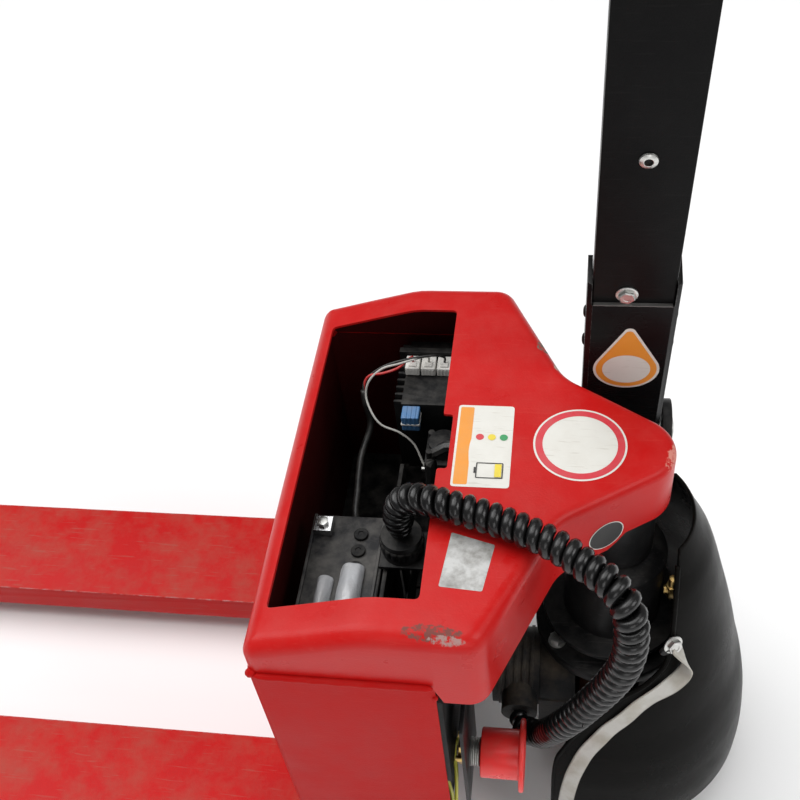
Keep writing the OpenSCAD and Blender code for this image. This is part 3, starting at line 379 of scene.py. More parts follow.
def corner_points(a, v, b, radius, steps):
    """Points round a corner of the outline, each with the arc's centre and how an inset moves it."""
    v, to_a, to_b = Vector(v), (Vector(a) - Vector(v)).normalized(), (Vector(b) - Vector(v)).normalized()
    half = to_a.angle(to_b) / 2
    middle = (to_a + to_b).normalized()
    centre = v + middle * radius / math.sin(half)
    start, stop = v + to_a * radius / math.tan(half) - centre, v + to_b * radius / math.tan(half) - centre
    return [(centre, (start.lerp(stop, k / steps)).normalized(), radius, middle, 1 / math.sin(half))
            for k in range(steps + 1)]


nose_to_waist = math.atan2(waist[1], waist[0] - nose_centre) - math.acos(
    nose_r / math.hypot(waist[0] - nose_centre, waist[1]))
nose_out = (nose_centre + nose_r * math.cos(nose_to_waist), nose_r * math.sin(nose_to_waist))
half_outline = [(Vector((nose_centre, 0)), Vector((math.cos(a), math.sin(a))), nose_r, Vector((1, 0)), 1.0)
                for a in [nose_to_waist * k / 16 for k in range(17)]]
turns = [(nose_out, waist, shoulder, 0.06, -1), (waist, shoulder, (cover_face, shoulder[1]), 0.026, 1),
         (shoulder, (cover_face, shoulder[1]), (cover_face, -shoulder[1]), 0.014, 1)]
outline = [("arc", *p, 1) for p in half_outline]
for a, v, b, radius, way in turns:
    outline += [("arc", *p, way) for p in corner_points(a, v, b, radius, 8)]


def outline_point(p, inset):
    """Where an outline point goes when the outline is drawn in by inset."""
    _, centre, out, radius, middle, spread, way = p
    if way < 0:
        return centre + out * (radius + inset)
    return centre + out * max(radius - inset, 0.0) + middle * max(inset - radius, 0.0) * spread


def outline_ring(inset):
    """The whole outline drawn in by inset(x): the half outline and its mirror image."""
    half = []
    for i, p in enumerate(outline):
        x = outline_point(p, 0)[0]
        half.append(outline_point(p, inset(x)))
    half.append(Vector((half[-1][0], 0.0)))
    return half + [Vector((q[0], -q[1])) for q in half[-2:0:-1]]


def edge_round(x):
    """Radius of the cover's top edge: larger along the sides, smaller round the nose."""
    share = min(1.0, max(0.0, (x + 0.138) / 0.075))
    return 0.019 - 0.008 * share * share * (3 - 2 * share)


def skirt_height(x):
    """Height of the cover's lower edge, from the side panels round to the nose."""
    marks = [(-1.0, 0.5553), (-0.186, 0.5553), (-0.1855, 0.522), (-0.138, 0.522), (-0.068, 0.542),
             (-0.012, 0.544), (0.002, 0.562), (1.0, 0.562)]
    for (x0, z0), (x1, z1) in zip(marks, marks[1:]):
        if x <= x1:
            return z0 + (z1 - z0) * (x - x0) / (x1 - x0)


def split_sides(ring, base):
    """Adds points between ring points that lie far apart, the same number on every ring."""
    made = []
    for i, p in enumerate(ring):
        q, a, b = ring[(i + 1) % len(ring)], base[i], base[(i + 1) % len(base)]
        cuts = max(1, math.ceil((b - a).length / 0.012))
        made += [p.lerp(q, k / cuts) for k in range(cuts)]
    return made


base_ring = outline_ring(lambda x: 0.0)
edge_steps = 7
rings = []
for depth in (1.0, 0.75, 0.5, 0.25):
    ring = split_sides(base_ring, base_ring)
    rings.append([Vector((p[0], p[1], skirt_height(p[0]) * depth
                          + (cover_height(p[0], p[1]) - edge_round(p[0])) * (1 - depth))) for p in ring])
for step in range(edge_steps + 1):
    a = math.pi / 2 * step / edge_steps
    ring = split_sides(outline_ring(lambda x: edge_round(x) * (1 - math.cos(a))), base_ring)
    rings.append([Vector((p[0], p[1], cover_height(p[0], p[1]) - edge_round(p[0]) * (1 - math.sin(a))))
                  for p in ring])

shell = bmesh.new()
rows = [[shell.verts.new(p) for p in ring] for ring in rings]
for low, high in zip(rows, rows[1:]):
    for i in range(len(low)):
        j = (i + 1) % len(low)
        shell.faces.new((low[i], low[j], high[j], high[i]))
bay = (-0.36, -0.2, -0.205, 0.205)
notch = (-0.189, -0.0415, 0.0355)
bay_corners = [(bay[0], bay[2], 0.006), (bay[1], bay[2], 0.006), (bay[1], notch[1], 0.003),
               (notch[0], notch[1], 0.004), (notch[0], notch[2], 0.004), (bay[1], notch[2], 0.003),
               (bay[1], bay[3], 0.006), (bay[0], bay[3], 0.006)]


def rounded_outline(corners, steps=4):
    """A closed outline with each corner, given as x, y and radius, rounded."""
    made = []
    for i, (x, y, radius) in enumerate(corners):
        a, b = corners[i - 1], corners[(i + 1) % len(corners)]
        v = Vector((x, y))
        to_a, to_b = (Vector(a[:2]) - v).normalized(), (Vector(b[:2]) - v).normalized()
        p, q = v + to_a * radius, v + to_b * radius
        made += [p.lerp(v, k / steps).lerp(v.lerp(q, k / steps), k / steps) for k in range(steps + 1)]
    return made


def inside(p, ring):
    """Whether a point in plan lies inside a closed outline."""
    odd = False
    for a, b in zip(ring, ring[1:] + ring[:1]):
        if (a[1] > p[1]) != (b[1] > p[1]) and p[0] < a[0] + (p[1] - a[1]) / (b[1] - a[1]) * (b[0] - a[0]):
            odd = not odd
    return odd


def fill_outline(outer, holes, step):
    """Even triangles inside an outline and outside its holes. The first points are the outlines' own."""
    loops, points, edges = [outer] + holes, [], []
    for loop in loops:
        first = len(points)
        points += [Vector((p[0], p[1])) for p in loop]
        edges += [(first + i, first + (i + 1) % len(loop)) for i in range(len(loop))]
    border = [(points[i], points[j]) for i, j in edges]
    low = [min(p[k] for p in outer) for k in (0, 1)]
    high = [max(p[k] for p in outer) for k in (0, 1)]
    for i in range(1, int((high[0] - low[0]) / step) + 1):
        for j in range(1, int((high[1] - low[1]) / step) + 1):
            p = Vector((low[0] + (i + 0.5 * (j % 2)) * step, low[1] + j * step))
            if not inside(p, outer) or any(inside(p, h) for h in holes):
                continue
            clear = True
            for a, b in border:
                along = max(0.0, min(1.0, (p - a).dot(b - a) / max((b - a).length_squared, 1e-12)))
                if (a.lerp(b, along) - p).length < 0.55 * step:
                    clear = False
                    break
            if clear:
                points.append(p)
    done = delaunay_2d_cdt(points, edges, [], 0, 1e-7)
    kept = []
    for face in done[2]:
        middle = sum((done[0][k] for k in face), Vector((0, 0))) / len(face)
        if inside(middle, outer) and not any(inside(middle, h) for h in holes):
            kept.append(face)
    return done[0], kept, done[3]


rim = rows[-1]
hole = rounded_outline(bay_corners)
hole = [a.lerp(b, k / n) for a, b in zip(hole, hole[1:] + hole[:1])
        for n in [max(1, round((b - a).length / 0.012))] for k in range(n)]
flat_points, flat_faces, came_from = fill_outline([v.co.xy for v in rim], [hole], 0.012)
top = []
for p, source in zip(flat_points, came_from):
    if source and source[0] < len(rim):
        top.append(rim[source[0]])
    else:
        top.append(shell.verts.new((p[0], p[1], cover_height(p[0], p[1]))))
for face in flat_faces:
    shell.faces.new([top[k] for k in face])
for v in shell.verts:
    v.co.x += steer_x
bmesh.ops.recalc_face_normals(shell, faces=shell.faces)

steel_bare, enamel = (0.42, 0.41, 0.4), (0.5, 0.008, 0.0075)
red_patches = [((0.486, -0.239, 0.634), 0.056, (1.0, 3.6, 1.5), 0.9, (0.14, 0.06, 0.05)),
               ((0.5, -0.244, 0.63), 0.036, (1.0, 4.0, 2.0), 0.9, (0.36, 0.24, 0.22)),
               ((0.578, 0.15, 0.636), 0.022, (1.4, 1.0, 1.0), 0.9, (0.16, 0.15, 0.12)),
               ((0.596, 0.116, 0.632), 0.016, (1.0, 1.0, 1.0), 0.9, (0.5, 0.42, 0.36)),
               ((0.304, -0.242, 0.56), 0.022, (1.0, 2.0, 1.0), 0.8, (0.16, 0.06, 0.05)),
               ((0.722, -0.012, 0.634), 0.03, (1.0, 0.8, 2.5), 0.7, (0.72, 0.35, 0.28))]
red_enamel = surface("red_enamel", enamel, 0.3, vary=0.1, grain=(420.0, 45.0, 0.5, 0.00035),
                     wear=(0.0015, 140.0, 0.5, (0.34, 0.06, 0.05), 0.5), dust=(30.0, 0.08, (0.5, 0.2, 0.17)),
                     scratch=(28.0, 0.2, (0.6, 0.05, 0.04)), shine=0.17, patches=red_patches)
# Inside, the sheets are a very dark red: painted shade for the bay's shadowed inside
inside_red_painted_shade = surface("inside_red_painted_shade", (0.055, 0.003, 0.003), 0.45, grain=(420.0, 60.0, 0.5, 0.0004),
                    dust=(30.0, 0.3, (0.05, 0.03, 0.028)), shine=0.3)
# The side panels, the front sheet and their welds take a darker, less shiny copy of the cover's red enamel: painted
# shade for the upright faces
panel_red_painted_shade = surface("panel_red_painted_shade", (0.43, 0.0066, 0.0062), 0.4, vary=0.1, grain=(420.0, 45.0, 0.5, 0.0005),
                    wear=(0.0015, 140.0, 0.6, (0.3, 0.06, 0.05), 0.5), dust=(26.0, 0.1, (0.34, 0.12, 0.1)),
                    scratch=(24.0, 0.22, (0.52, 0.05, 0.04)), shine=0.05)


smooth_tree = bpy.data.node_groups.new("smooth under 35", "GeometryNodeTree")
for way in ("INPUT", "OUTPUT"):
    smooth_tree.interface.new_socket("Geometry", in_out=way, socket_type="NodeSocketGeometry")
given, result, angle, sharp, faces, edges = [smooth_tree.nodes.new(kind) for kind in (
    "NodeGroupInput", "NodeGroupOutput", "GeometryNodeInputMeshEdgeAngle", "FunctionNodeCompare",
    "GeometryNodeSetShadeSmooth", "GeometryNodeSetShadeSmooth")]
sharp.operation, sharp.inputs[1].default_value = "GREATER_THAN", math.radians(35)
edges.domain, edges.inputs["Shade Smooth"].default_value = "EDGE", False
for out, into in [(angle.outputs["Unsigned Angle"], sharp.inputs[0]), (given.outputs[0], faces.inputs["Geometry"]),
                  (faces.outputs[0], edges.inputs["Geometry"]), (sharp.outputs[0], edges.inputs["Selection"]),
                  (edges.outputs[0], result.inputs[0])]:
    smooth_tree.links.new(out, into)


def smooth_by_angle(obj):
    """Shades an object smooth, except over edges sharper than 35 degrees."""
    obj.modifiers.new("smooth", "NODES").node_group = smooth_tree


def thicken(obj, thick, offset=-1, even=False, inner=0):
    """Gives a surface its thickness, inwards as a rule, with another material slot on the inside."""
    wall = obj.modifiers.new("sheet", "SOLIDIFY")
    wall.thickness, wall.offset, wall.use_even_offset, wall.material_offset = thick, offset, even, inner


def bevel(obj, width, segments, degrees, harden=False):
    """Rounds the edges that are sharper than the angle."""
    edge = obj.modifiers.new("edge", "BEVEL")
    edge.width, edge.segments, edge.harden_normals = width, segments, harden
    edge.limit_method, edge.angle_limit = "ANGLE", math.radians(degrees)


def sheet_steel(obj, thick, edge=0.0, inner=0):
    """Gives a surface the thickness of its sheet, inwards, with edges just off sharp."""
    thicken(obj, thick, even=True, inner=inner)
    if edge:
        bevel(obj, edge, 2, 50)
    smooth_by_angle(obj)


def from_bmesh(name, shape, material, smooth=True):
    """An object with the mesh that was built in a bmesh."""
    mesh = bpy.data.meshes.new(name)
    shape.to_mesh(mesh)
    shape.free()
    mesh.materials.append(material)
    if smooth:
        mesh.shade_smooth()
    return linked(name, mesh)


def fasten(obj, body, node=None):
    """Fixes a piece to its body, and hides the CAD node that it stands for."""
    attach(obj, body)
    if node:
        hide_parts(node)
    return obj


cover = from_bmesh("cover_shell", shell, red_enamel)
# The cover's inside takes the very dark red of painted shade
cover.data.materials.append(inside_red_painted_shade)
sheet_steel(cover, cover_sheet, inner=1)
fasten(cover, "root", "top_cover")

# ---- side panels ----
# Two pressed steel sides that stand on the forks and close the battery bay. Each is bent
# round the fork end and folded in a little at the rear, and is welded to the cover.
panel_path = [(-0.3808, 0.239), (-0.3808, 0.243), (-0.3799, 0.2476), (-0.3773, 0.2515), (-0.3734, 0.2541),
              (-0.369, 0.255), (-0.345, 0.255), (-0.315, 0.255), (-0.285, 0.255), (-0.255, 0.255),
              (-0.23, 0.255), (-0.212, 0.255), (-0.2088, 0.2547), (-0.2056, 0.2539), (-0.1862, 0.2513)]
panel_levels = [0.0852, 0.09, 0.17, 0.25, 0.33, 0.41, 0.47, 0.51, 0.535, 0.55, 0.555]


def grid_faces(rows, wide):
    """The faces between rows of points, each wide points long."""
    return [(a, a + 1, a + wide + 1, a + wide) for i in range(rows - 1) for a in range(i * wide, i * wide + wide - 1)]


for side, label, node in [(-1, "side_panel_left", "left_side_panel"), (1, "side_panel_right", "right_side_panel")]:
    points = []
    for z in panel_levels:
        for x, y in panel_path:
            dent = noise.noise(Vector((x * 7, side * 3.1, z * 7))) * 0.0008 if y > 0.2545 and z < 0.54 else 0.0
            points.append(at(x, side * (y + min(dent, 0.0)), z))
    faces = [f[:1] + f[:0:-1] if side > 0 else f[1:] + f[:1] for f in grid_faces(len(panel_levels), len(panel_path))]
    # The panel's outside takes the darker red of painted shade
    panel = mesh_object(label, points, faces, panel_red_painted_shade)
    # The panel's inside takes the very dark red of painted shade
    panel.data.materials.append(inside_red_painted_shade)
    sheet_steel(panel, 0.003, inner=1)
    fasten(panel, "root", node)
    # The seam to the cover is filled with a ground-down weld that ends in a blob at each corner
    seam = [at(x, side * (0.2543 + 0.0003 * math.sin(x * 260)), 0.5543) for x in
            [-0.3735 + 0.006 * k for k in range(32)]]
    fasten(tube_mesh(f"{label}_seam", seam, lambda t: 0.004 * min(1.0, 0.35 + 18 * t, 0.35 + 18 * (1 - t)), 12,
                     panel_red_painted_shade), "root")
    for place, size in ((at(-0.3752, side * 0.2498, 0.5545), 0.0062), (at(-0.1868, side * 0.251, 0.529), 0.0034)):
        lump = bmesh.new()
        bmesh.ops.create_icosphere(lump, subdivisions=3, radius=size)
        for v in lump.verts:
            v.co *= 1 + 0.22 * noise.noise(v.co * 260 + place)
            v.co = v.co + place
        fasten(from_bmesh(f"{label}_weld_{round(size * 10000)}", lump, panel_red_painted_shade), "root")

# ---- front wall and forks ----
# The wall between the forks' roots is a steel plate. The forks are folded from plate, and
# their tops are scuffed by pallets.


def block(name, low, high, material, round_by=0.0, cuts=0, body="root", placed=None):
    """A plate or case with rounded edges, riding on a body."""
    made = bmesh.new()
    bmesh.ops.create_cube(made, size=1.0)
    if cuts:
        bmesh.ops.subdivide_edges(made, edges=made.edges[:], cuts=cuts, use_grid_fill=True)
    for v in made.verts:
        v.co = Vector([(a + b) / 2 + c * (b - a) for a, b, c in zip(low, high, v.co)])
    obj = from_bmesh(name, made, material, smooth=bool(round_by))
    if round_by:
        bevel(obj, round_by, 3, 40, harden=True)
    if placed is not None:
        obj.matrix_world = placed
    return fasten(obj, body)


wall_sheet = block("front_sheet", at(-0.3807, -0.2385, 0.0932), at(-0.3777, 0.2385, 0.5518), panel_red_painted_shade, 0.0008)
# A thin sheet of the very dark inside red covers the front wall's inner face: painted shade
block("front_painted_shade_sheet", at(-0.3776, -0.238, 0.296), at(-0.3772, 0.238, 0.564), inside_red_painted_shade)
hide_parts("front_wall")


def dress(names, material, round_by=0.0008, segments=2):
    """Gives CAD nodes a finish and rounds their edges, without moving them."""
    for name in names.split():
        obj = nodes[name]
        obj.data.materials.clear()
        obj.data.materials.append(material)
        flat = obj.modifiers.new("flat", "DECIMATE")
        flat.decimate_type, flat.angle_limit = "DISSOLVE", math.radians(1)
        obj.modifiers.new("weld", "WELD").merge_threshold = 0.00001
        if round_by:
            bevel(obj, round_by, segments, 30)
        smooth_by_angle(obj)


fork_red = surface("fork_red", enamel, 0.38, grain=(420.0, 45.0, 0.5, 0.0004),
                   wear=(0.004, 60.0, 0.9, steel_bare, 0.45), dust=(18.0, 0.35, dust_brown),
                   scratch=(16.0, 0.35, (0.4, 0.1, 0.08)), shine=0.1)
dress("left_fork right_fork", fork_red, 0.0035, 3)

# ---- battery bay ----
# Bent black plates carry the battery, the pump and the motor controller. What is inside
# is dusty, and only the upper part is seen through the cover's opening.
black_steel = surface("black_steel", (0.0085, 0.0085, 0.009), 0.34, grain=(500.0, 60.0, 0.5, 0.0004),
                      wear=(0.0015, 110.0, 0.5, (0.12, 0.115, 0.11), 0.5), dust=(30.0, 0.1, dust_grey),
                      scratch=(26.0, 0.3, (0.07, 0.068, 0.066)), shine=0.14)
bay_black = surface("bay_black", (0.006, 0.006, 0.0065), 0.5, grain=(600.0, 80.0, 0.5, 0.0003),
                    dust=(40.0, 0.2, dust_grey), scratch=(26.0, 0.2, (0.06, 0.06, 0.06)), shine=0.14)
case_black = surface("case_black", (0.008, 0.008, 0.0085), 0.42, grain=(2400.0, 200.0, 0.3, 0.00015),
                     dust=(50.0, 0.15, dust_grey), shine=0.14)
battery_case = surface("battery_case", (0.016, 0.016, 0.018), 0.36, grain=(1500.0, 90.0, 0.4, 0.0002),
                       wear=(0.001, 150.0, 0.3, (0.06, 0.06, 0.06), 0.6), dust=(30.0, 0.4, dust_grey), shine=0.3)
milky = surface("milky_plastic", (0.66, 0.63, 0.55), 0.36, grain=(900.0, 50.0, 0.6, 0.0003),
                dust=(25.0, 0.4, dust_brown))
zinc = surface("zinc_plate", (0.6, 0.6, 0.58), 0.32, vary=0.2, grain=(1200.0, 200.0, 0.4, 0.0001),
               metal=1.0, dust=(60.0, 0.35, (0.25, 0.23, 0.2)), scratch=(60.0, 0.4, (0.4, 0.39, 0.37)))
ground = surface("ground_steel", (0.56, 0.56, 0.57), 0.16, vary=0.06, grain=(2600.0, 300.0, 0.3, 0.00005),
                 metal=1.0, scratch=(50.0, 0.4, (0.35, 0.34, 0.33)), dust=(50.0, 0.12, dust_brown))
brass = surface("brass", (0.62, 0.43, 0.16), 0.26, vary=0.2, grain=(1400.0, 150.0, 0.4, 0.0001), metal=1.0,
                dust=(70.0, 0.3, dust_brown))
cast_iron = surface("cast_iron", (0.02, 0.02, 0.021), 0.5, grain=(700.0, 130.0, 0.35, 0.0009),
                    wear=(0.002, 90.0, 0.5, (0.14, 0.13, 0.12), 0.5), dust=(22.0, 0.5, dust_brown), shine=0.14)
white_plastic = surface("white_plastic", (0.78, 0.77, 0.73), 0.34, grain=(1600.0, 100.0, 0.4, 0.0001),
                        dust=(60.0, 0.3, dust_brown))
blue_plastic = surface("blue_plastic", (0.07, 0.2, 0.42), 0.38, grain=(1600.0, 100.0, 0.4, 0.0001),
                       dust=(60.0, 0.3, dust_grey))
red_plastic = surface("red_plastic", (0.82, 0.024, 0.022), 0.3, grain=(1800.0, 120.0, 0.4, 0.0001),
                      wear=(0.0012, 160.0, 0.5, (0.75, 0.25, 0.2), 0.5), dust=(50.0, 0.2, dust_brown))
wire_red, wire_white, wire_green, wire_black = [
    surface(name, colour, rough, dust=(90.0, amount, dust_grey)) for name, colour, rough, amount in [
        ("wire_red", (0.55, 0.02, 0.02), 0.35, 0.4), ("wire_white", (0.5, 0.49, 0.46), 0.38, 0.4),
        ("wire_yellow_green", (0.55, 0.52, 0.03), 0.35, 0.4), ("wire_black", (0.012, 0.012, 0.012), 0.35, 0.2)]]

dress("base_plate bulkhead nose_beam battery_clamp", bay_black, 0.001)
dress("controller", case_black, 0.0012)
dress("contactor", case_black, 0.0015)
dress("pump_motor", cast_iron, 0.002)
dress("oil_tank", milky, 0.006, 3)
dress("battery_pack", battery_case, 0.003, 3)
dress("oil_hose", wire_black, 0)
dress("bulkhead_bolts", zinc, 0.0006)


def lathe(name, start, direction, profile, material, sides, body, node=None, flutes=None):
    """A turned piece: its profile is (distance along, radius) pairs. flutes is (count, depth, from, to)."""
    start, way = Vector(start), Vector(direction).normalized()
    u = way.orthogonal().normalized()
    v = way.cross(u)
    points, faces, rows = [], [], []
    for t, r in profile:
        if r < 1e-7:
            rows.append([len(points)])
            points.append(start + way * t)
            continue
        row = []
        for k in range(sides):
            a = 2 * math.pi * k / sides
            s = r
            if flutes and flutes[2] <= t <= flutes[3]:
                s -= flutes[1] * (0.5 + 0.5 * math.cos(flutes[0] * a)) ** 3
            row.append(len(points))
            points.append(start + way * t + s * (math.cos(a) * u + math.sin(a) * v))
        rows.append(row)
    for low, high in zip(rows, rows[1:]):
        for k in range(sides):
            j = (k + 1) % sides
            if len(low) == 1 and len(high) > 1:
                faces.append((low[0], high[j], high[k]))
            elif len(high) == 1 and len(low) > 1:
                faces.append((low[k], low[j], high[0]))
            elif len(low) > 1:
                faces.append((low[k], low[j], high[j], high[k]))
    made = mesh_object(name, points, faces, material)
    smooth_by_angle(made)
    return fasten(made, body, node)


def thread(t0, t1, r, pitch, depth):
    """A profile of thread ridges between two places along a turned piece."""
    made, t = [], t0
    while t < t1 - pitch:
        made += [(t, r - depth), (t + pitch * 0.4, r), (t + pitch * 0.55, r)]
        t += pitch
    return made + [(t1, r - depth)]


# The controller's three white plugs with ribs and latches, and a blue plug with a white tie on its side
for k, x in enumerate((-0.266, -0.246, -0.226)):
    low = at(x, 0.1665, 0.5624)
    block(f"plug_body_{k}", low, low + Vector((0.018, 0.023, 0.0125)), white_plastic, 0.0012)
    for r in range(4):
        rib = low + Vector((0.0014 + 0.0042 * r, -0.0006, 0.001))
        block(f"plug_rib_{k}_{r}", rib, rib + Vector((0.0018, 0.0242, 0.0095)), white_plastic, 0.0004)
    latch = low + Vector((0.004, 0.003, 0.0115))
    block(f"plug_latch_{k}", latch, latch + Vector((0.01, 0.007, 0.003)), white_plastic, 0.0008)
block("plug_rail", at(-0.2755, 0.1905, 0.5622), at(-0.188, 0.199, 0.58), case_black, 0.0012)
blue_at = at(-0.264, 0.097, 0.536)
blue = block("blue_plug", blue_at, blue_at + Vector((0.022, 0.0208, 0.024)), blue_plastic, 0.0018)
for k in range(3):
    rib = blue_at + Vector((0.004 + 0.0055 * k, -0.0006, 0.003))
    block(f"blue_plug_rib_{k}", rib, rib + Vector((0.003, 0.02, 0.0216)), blue_plastic, 0.0008)
block("blue_plug_tie", blue_at + Vector((-0.0007, -0.0007, 0.01)), blue_at + Vector((0.0227, 0.0205, 0.0128)),
      white_plastic, 0.0006)
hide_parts("controller_plugs")

# Thin wires run from the plugs to the bay's near wall. Two go down there in a black sleeve to
# the battery, and the white one loops back to a crimped end on the contactor
wire_runs = [
    ("wire_red_bay", wire_red, 0.0016, [
        (-0.257, 0.178, 0.5762), (-0.257, 0.178, 0.584), (-0.262, 0.168, 0.588), (-0.2722, 0.1561, 0.586),
        (-0.289, 0.1488, 0.584), (-0.309, 0.1495, 0.577), (-0.3155, 0.1435, 0.564), (-0.3142, 0.1345, 0.544)]),
    ("wire_white_bay", wire_white, 0.0014, [
        (-0.237, 0.178, 0.5762), (-0.237, 0.178, 0.585), (-0.25, 0.167, 0.592), (-0.2722, 0.16, 0.5892),
        (-0.292, 0.1535, 0.5865), (-0.308, 0.144, 0.5745), (-0.3128, 0.1345, 0.556), (-0.3035, 0.1165, 0.544),
        (-0.2907, 0.106, 0.5345), (-0.2683, 0.101, 0.5275), (-0.25, 0.093, 0.515), (-0.239, 0.08, 0.495),
        (-0.2325, 0.075, 0.49)]),
    ("wire_black_bay", wire_black, 0.0015, [
        (-0.217, 0.178, 0.5762), (-0.217, 0.178, 0.585), (-0.232, 0.172, 0.593), (-0.262, 0.165, 0.5925),
        (-0.29, 0.1575, 0.587), (-0.313, 0.149, 0.572), (-0.3165, 0.14, 0.56), (-0.3152, 0.134, 0.545)]),
    ("wire_sleeve_bay", wire_black, 0.0044, [
        (-0.3158, 0.141, 0.56), (-0.3147, 0.134, 0.544), (-0.311, 0.127, 0.51), (-0.32, 0.09, 0.49),
        (-0.318, 0.04, 0.482), (-0.315, 0.005, 0.474), (-0.3, -0.014, 0.442)]),
]
wires = [fasten(tube_mesh(name, smooth_line([at(*p) for p in run], 0.004), radius, 10, colour), "root")
         for name, colour, radius, run in wire_runs]
lathe("wire_white_lug", at(-0.2405, 0.075, 0.49), (1, 0, 0),
      [(0, 0), (0, 0.0034), (0.0075, 0.0034), (0.0078, 0)], zinc, 16, "root")
lathe("wire_sleeve_end", at(-0.3, -0.014, 0.438), (0, 0, 1),
      [(0, 0), (0, 0.0056), (0.01, 0.0056), (0.0104, 0)], case_black, 20, "root")
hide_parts("bay_wires")

# Battery: two terminal bars with bolts, the cell caps and a rim along both sides
for k, y in enumerate((-0.172, -0.04)):
    block(f"battery_terminal_{k}", at(-0.352, y - 0.011, 0.5152), at(-0.33, y + 0.011, 0.526), ground, 0.0012)
    lathe(f"battery_post_{k}", at(-0.341, y, 0.5255), (0, 0, 1),
          [(0, 0), (0, 0.0062), (0.0015, 0.0068), (0.0055, 0.0068), (0.006, 0.005), (0.006, 0)], zinc, 6, "root")
for k in range(6):
    y = -0.162 + 0.023 * k
    lathe(f"cell_cap_{k}", at(-0.296, y, 0.5152), (0, 0, 1),
          [(0, 0), (0, 0.0085), (0.003, 0.0085), (0.0036, 0.0079), (0.0036, 0.0035), (0.0026, 0.003), (0.0026, 0)],
          case_black, 28, "root")
block("battery_edge_front", at(-0.3555, -0.189, 0.5152), at(-0.3515, -0.021, 0.5182), battery_case, 0.001)
block("battery_edge_rear", at(-0.2735, -0.189, 0.5152), at(-0.2695, -0.021, 0.5182), battery_case, 0.001)
# Clear film sleeves, crumpled, lie on the battery over its bars. The film is drawn opaque pale grey: a painted
# highlight for the glare on it
film = surface("sleeve_film_painted_glare", (0.52, 0.53, 0.55), 0.16, vary=0.35, grain=(160.0, 60.0, 0.5, 0.002),
               dust=(25.0, 0.25, dust_brown), shine=0.7)
for k, (x0, x1, y0, y1) in enumerate([(-0.336, -0.318, -0.182, -0.11), (-0.312, -0.284, -0.186, -0.092)]):
    low, high = at(x0, y0, 0.5156), at(x1, y1, 0.53)
    sleeve = block(f"film_sleeve_{k}", low, high, film, 0.0, 9)
    for v in sleeve.data.vertices:
        p = v.co
        share = (p.y - low.y) / (high.y - low.y)
        up = (p.z - low.z) / (high.z - low.z)
        across = abs(2 * (p.x - low.x) / (high.x - low.x) - 1)
        p.z = low.z + (p.z - low.z) * (1 - 0.75 * across ** 3) * (0.75 + 0.3 * math.sin(math.pi * share))
        if up > 0.1:
            p.z += noise.noise(p * 95) * 0.0028
            p.x += noise.noise(p * 60 + Vector((3, 0, 0))) * 0.0018
    sleeve.data.shade_smooth()
    fine = sleeve.modifiers.new("fine", "SUBSURF")
    fine.levels = fine.render_levels = 1

# The cord leaves the bay through a black screwed gland on a bent plate
dress("cord_gland", case_black, 0.0008)
lathe("gland_nut", at(-0.24, -0.08, 0.55), (0, 0, 1),
      [(0, 0.024), (0.0012, 0.0252), (0.011, 0.0252), (0.0122, 0.024), (0.0122, 0.0232)], case_black, 72, "root",
      flutes=(18, 0.0016, -1, 1))

# ---- battery isolator ----
# The red knob cuts the battery off when it is pushed in. It slides in a threaded zinc neck,
# which a brass nut holds in a black plate beside the drive unit.
def from_isolator(x):
    """A point on the isolator's axis, from the plate it sits in."""
    return at(x - 0.168, -0.206, 0.31)


dress("isolator_plate", black_steel, 0.0008)
lathe("isolator_neck", from_isolator(0.0042), (1, 0, 0),
      [(0, 0.0071), (0, 0.0168), (0.001, 0.017)] + thread(0.001, 0.0115, 0.017, 0.0026, 0.0016)
      + [(0.012, 0.015), (0.0128, 0.014), (0.0128, 0.0071)], zinc, 48, "root", "isolator_body")
lathe("isolator_nut", from_isolator(-0.01), (1, 0, 0),
      [(0, 0.0071), (0, 0.016), (0.0012, 0.017), (0.0085, 0.017), (0.0096, 0.016), (0.0096, 0.0071)],
      brass, 6, "root")
lathe("isolator_base", from_isolator(-0.006), (1, 0, 0),
      [(0, 0.0072), (0, 0.0098), (0.01, 0.0098), (0.01, 0.0072)], brass, 32, "root")
lathe("isolator_grip", from_isolator(0.026), (1, 0, 0),
      [(-0.016, 0), (-0.016, 0.0069), (-0.0005, 0.0069), (-0.0005, 0.0182), (-0.0088, 0.0182), (-0.009, 0.0275),
       (-0.0084, 0.0285), (-0.0074, 0.029), (0.035, 0.029), (0.036, 0.03), (0.0362, 0.0405),
       (0.037, 0.0416), (0.038, 0.042), (0.0402, 0.042),
       (0.0413, 0.0416), (0.042, 0.0404), (0.042, 0.03), (0.041, 0.0285), (0.0405, 0.0)],
      red_plastic, 72, "isolator_knob", "isolator_knob", flutes=(12, 0.0012, 0.0017, 0.0349))
for k, run in enumerate([
    [(-0.176, -0.222, 0.322), (-0.186, -0.228, 0.318), (-0.19, -0.232, 0.29), (-0.188, -0.23, 0.24),
     (-0.19, -0.225, 0.18), (-0.196, -0.22, 0.12), (-0.2, -0.215, 0.095)],
    [(-0.176, -0.19, 0.318), (-0.184, -0.198, 0.3), (-0.183, -0.212, 0.262), (-0.185, -0.216, 0.214),
     (-0.19, -0.214, 0.15), (-0.199, -0.206, 0.095)],
]):
    fasten(tube_mesh(f"isolator_wire_{k}", smooth_line([at(*p) for p in run], 0.005), 0.0024, 10, wire_green), "root")
    lathe(f"isolator_tag_{k}", at(run[0][0] - 0.004, run[0][1], run[0][2]), (1, 0, 0),
          [(0, 0), (0, 0.0036), (0.01, 0.0036), (0.01, 0)], brass, 18, "root")

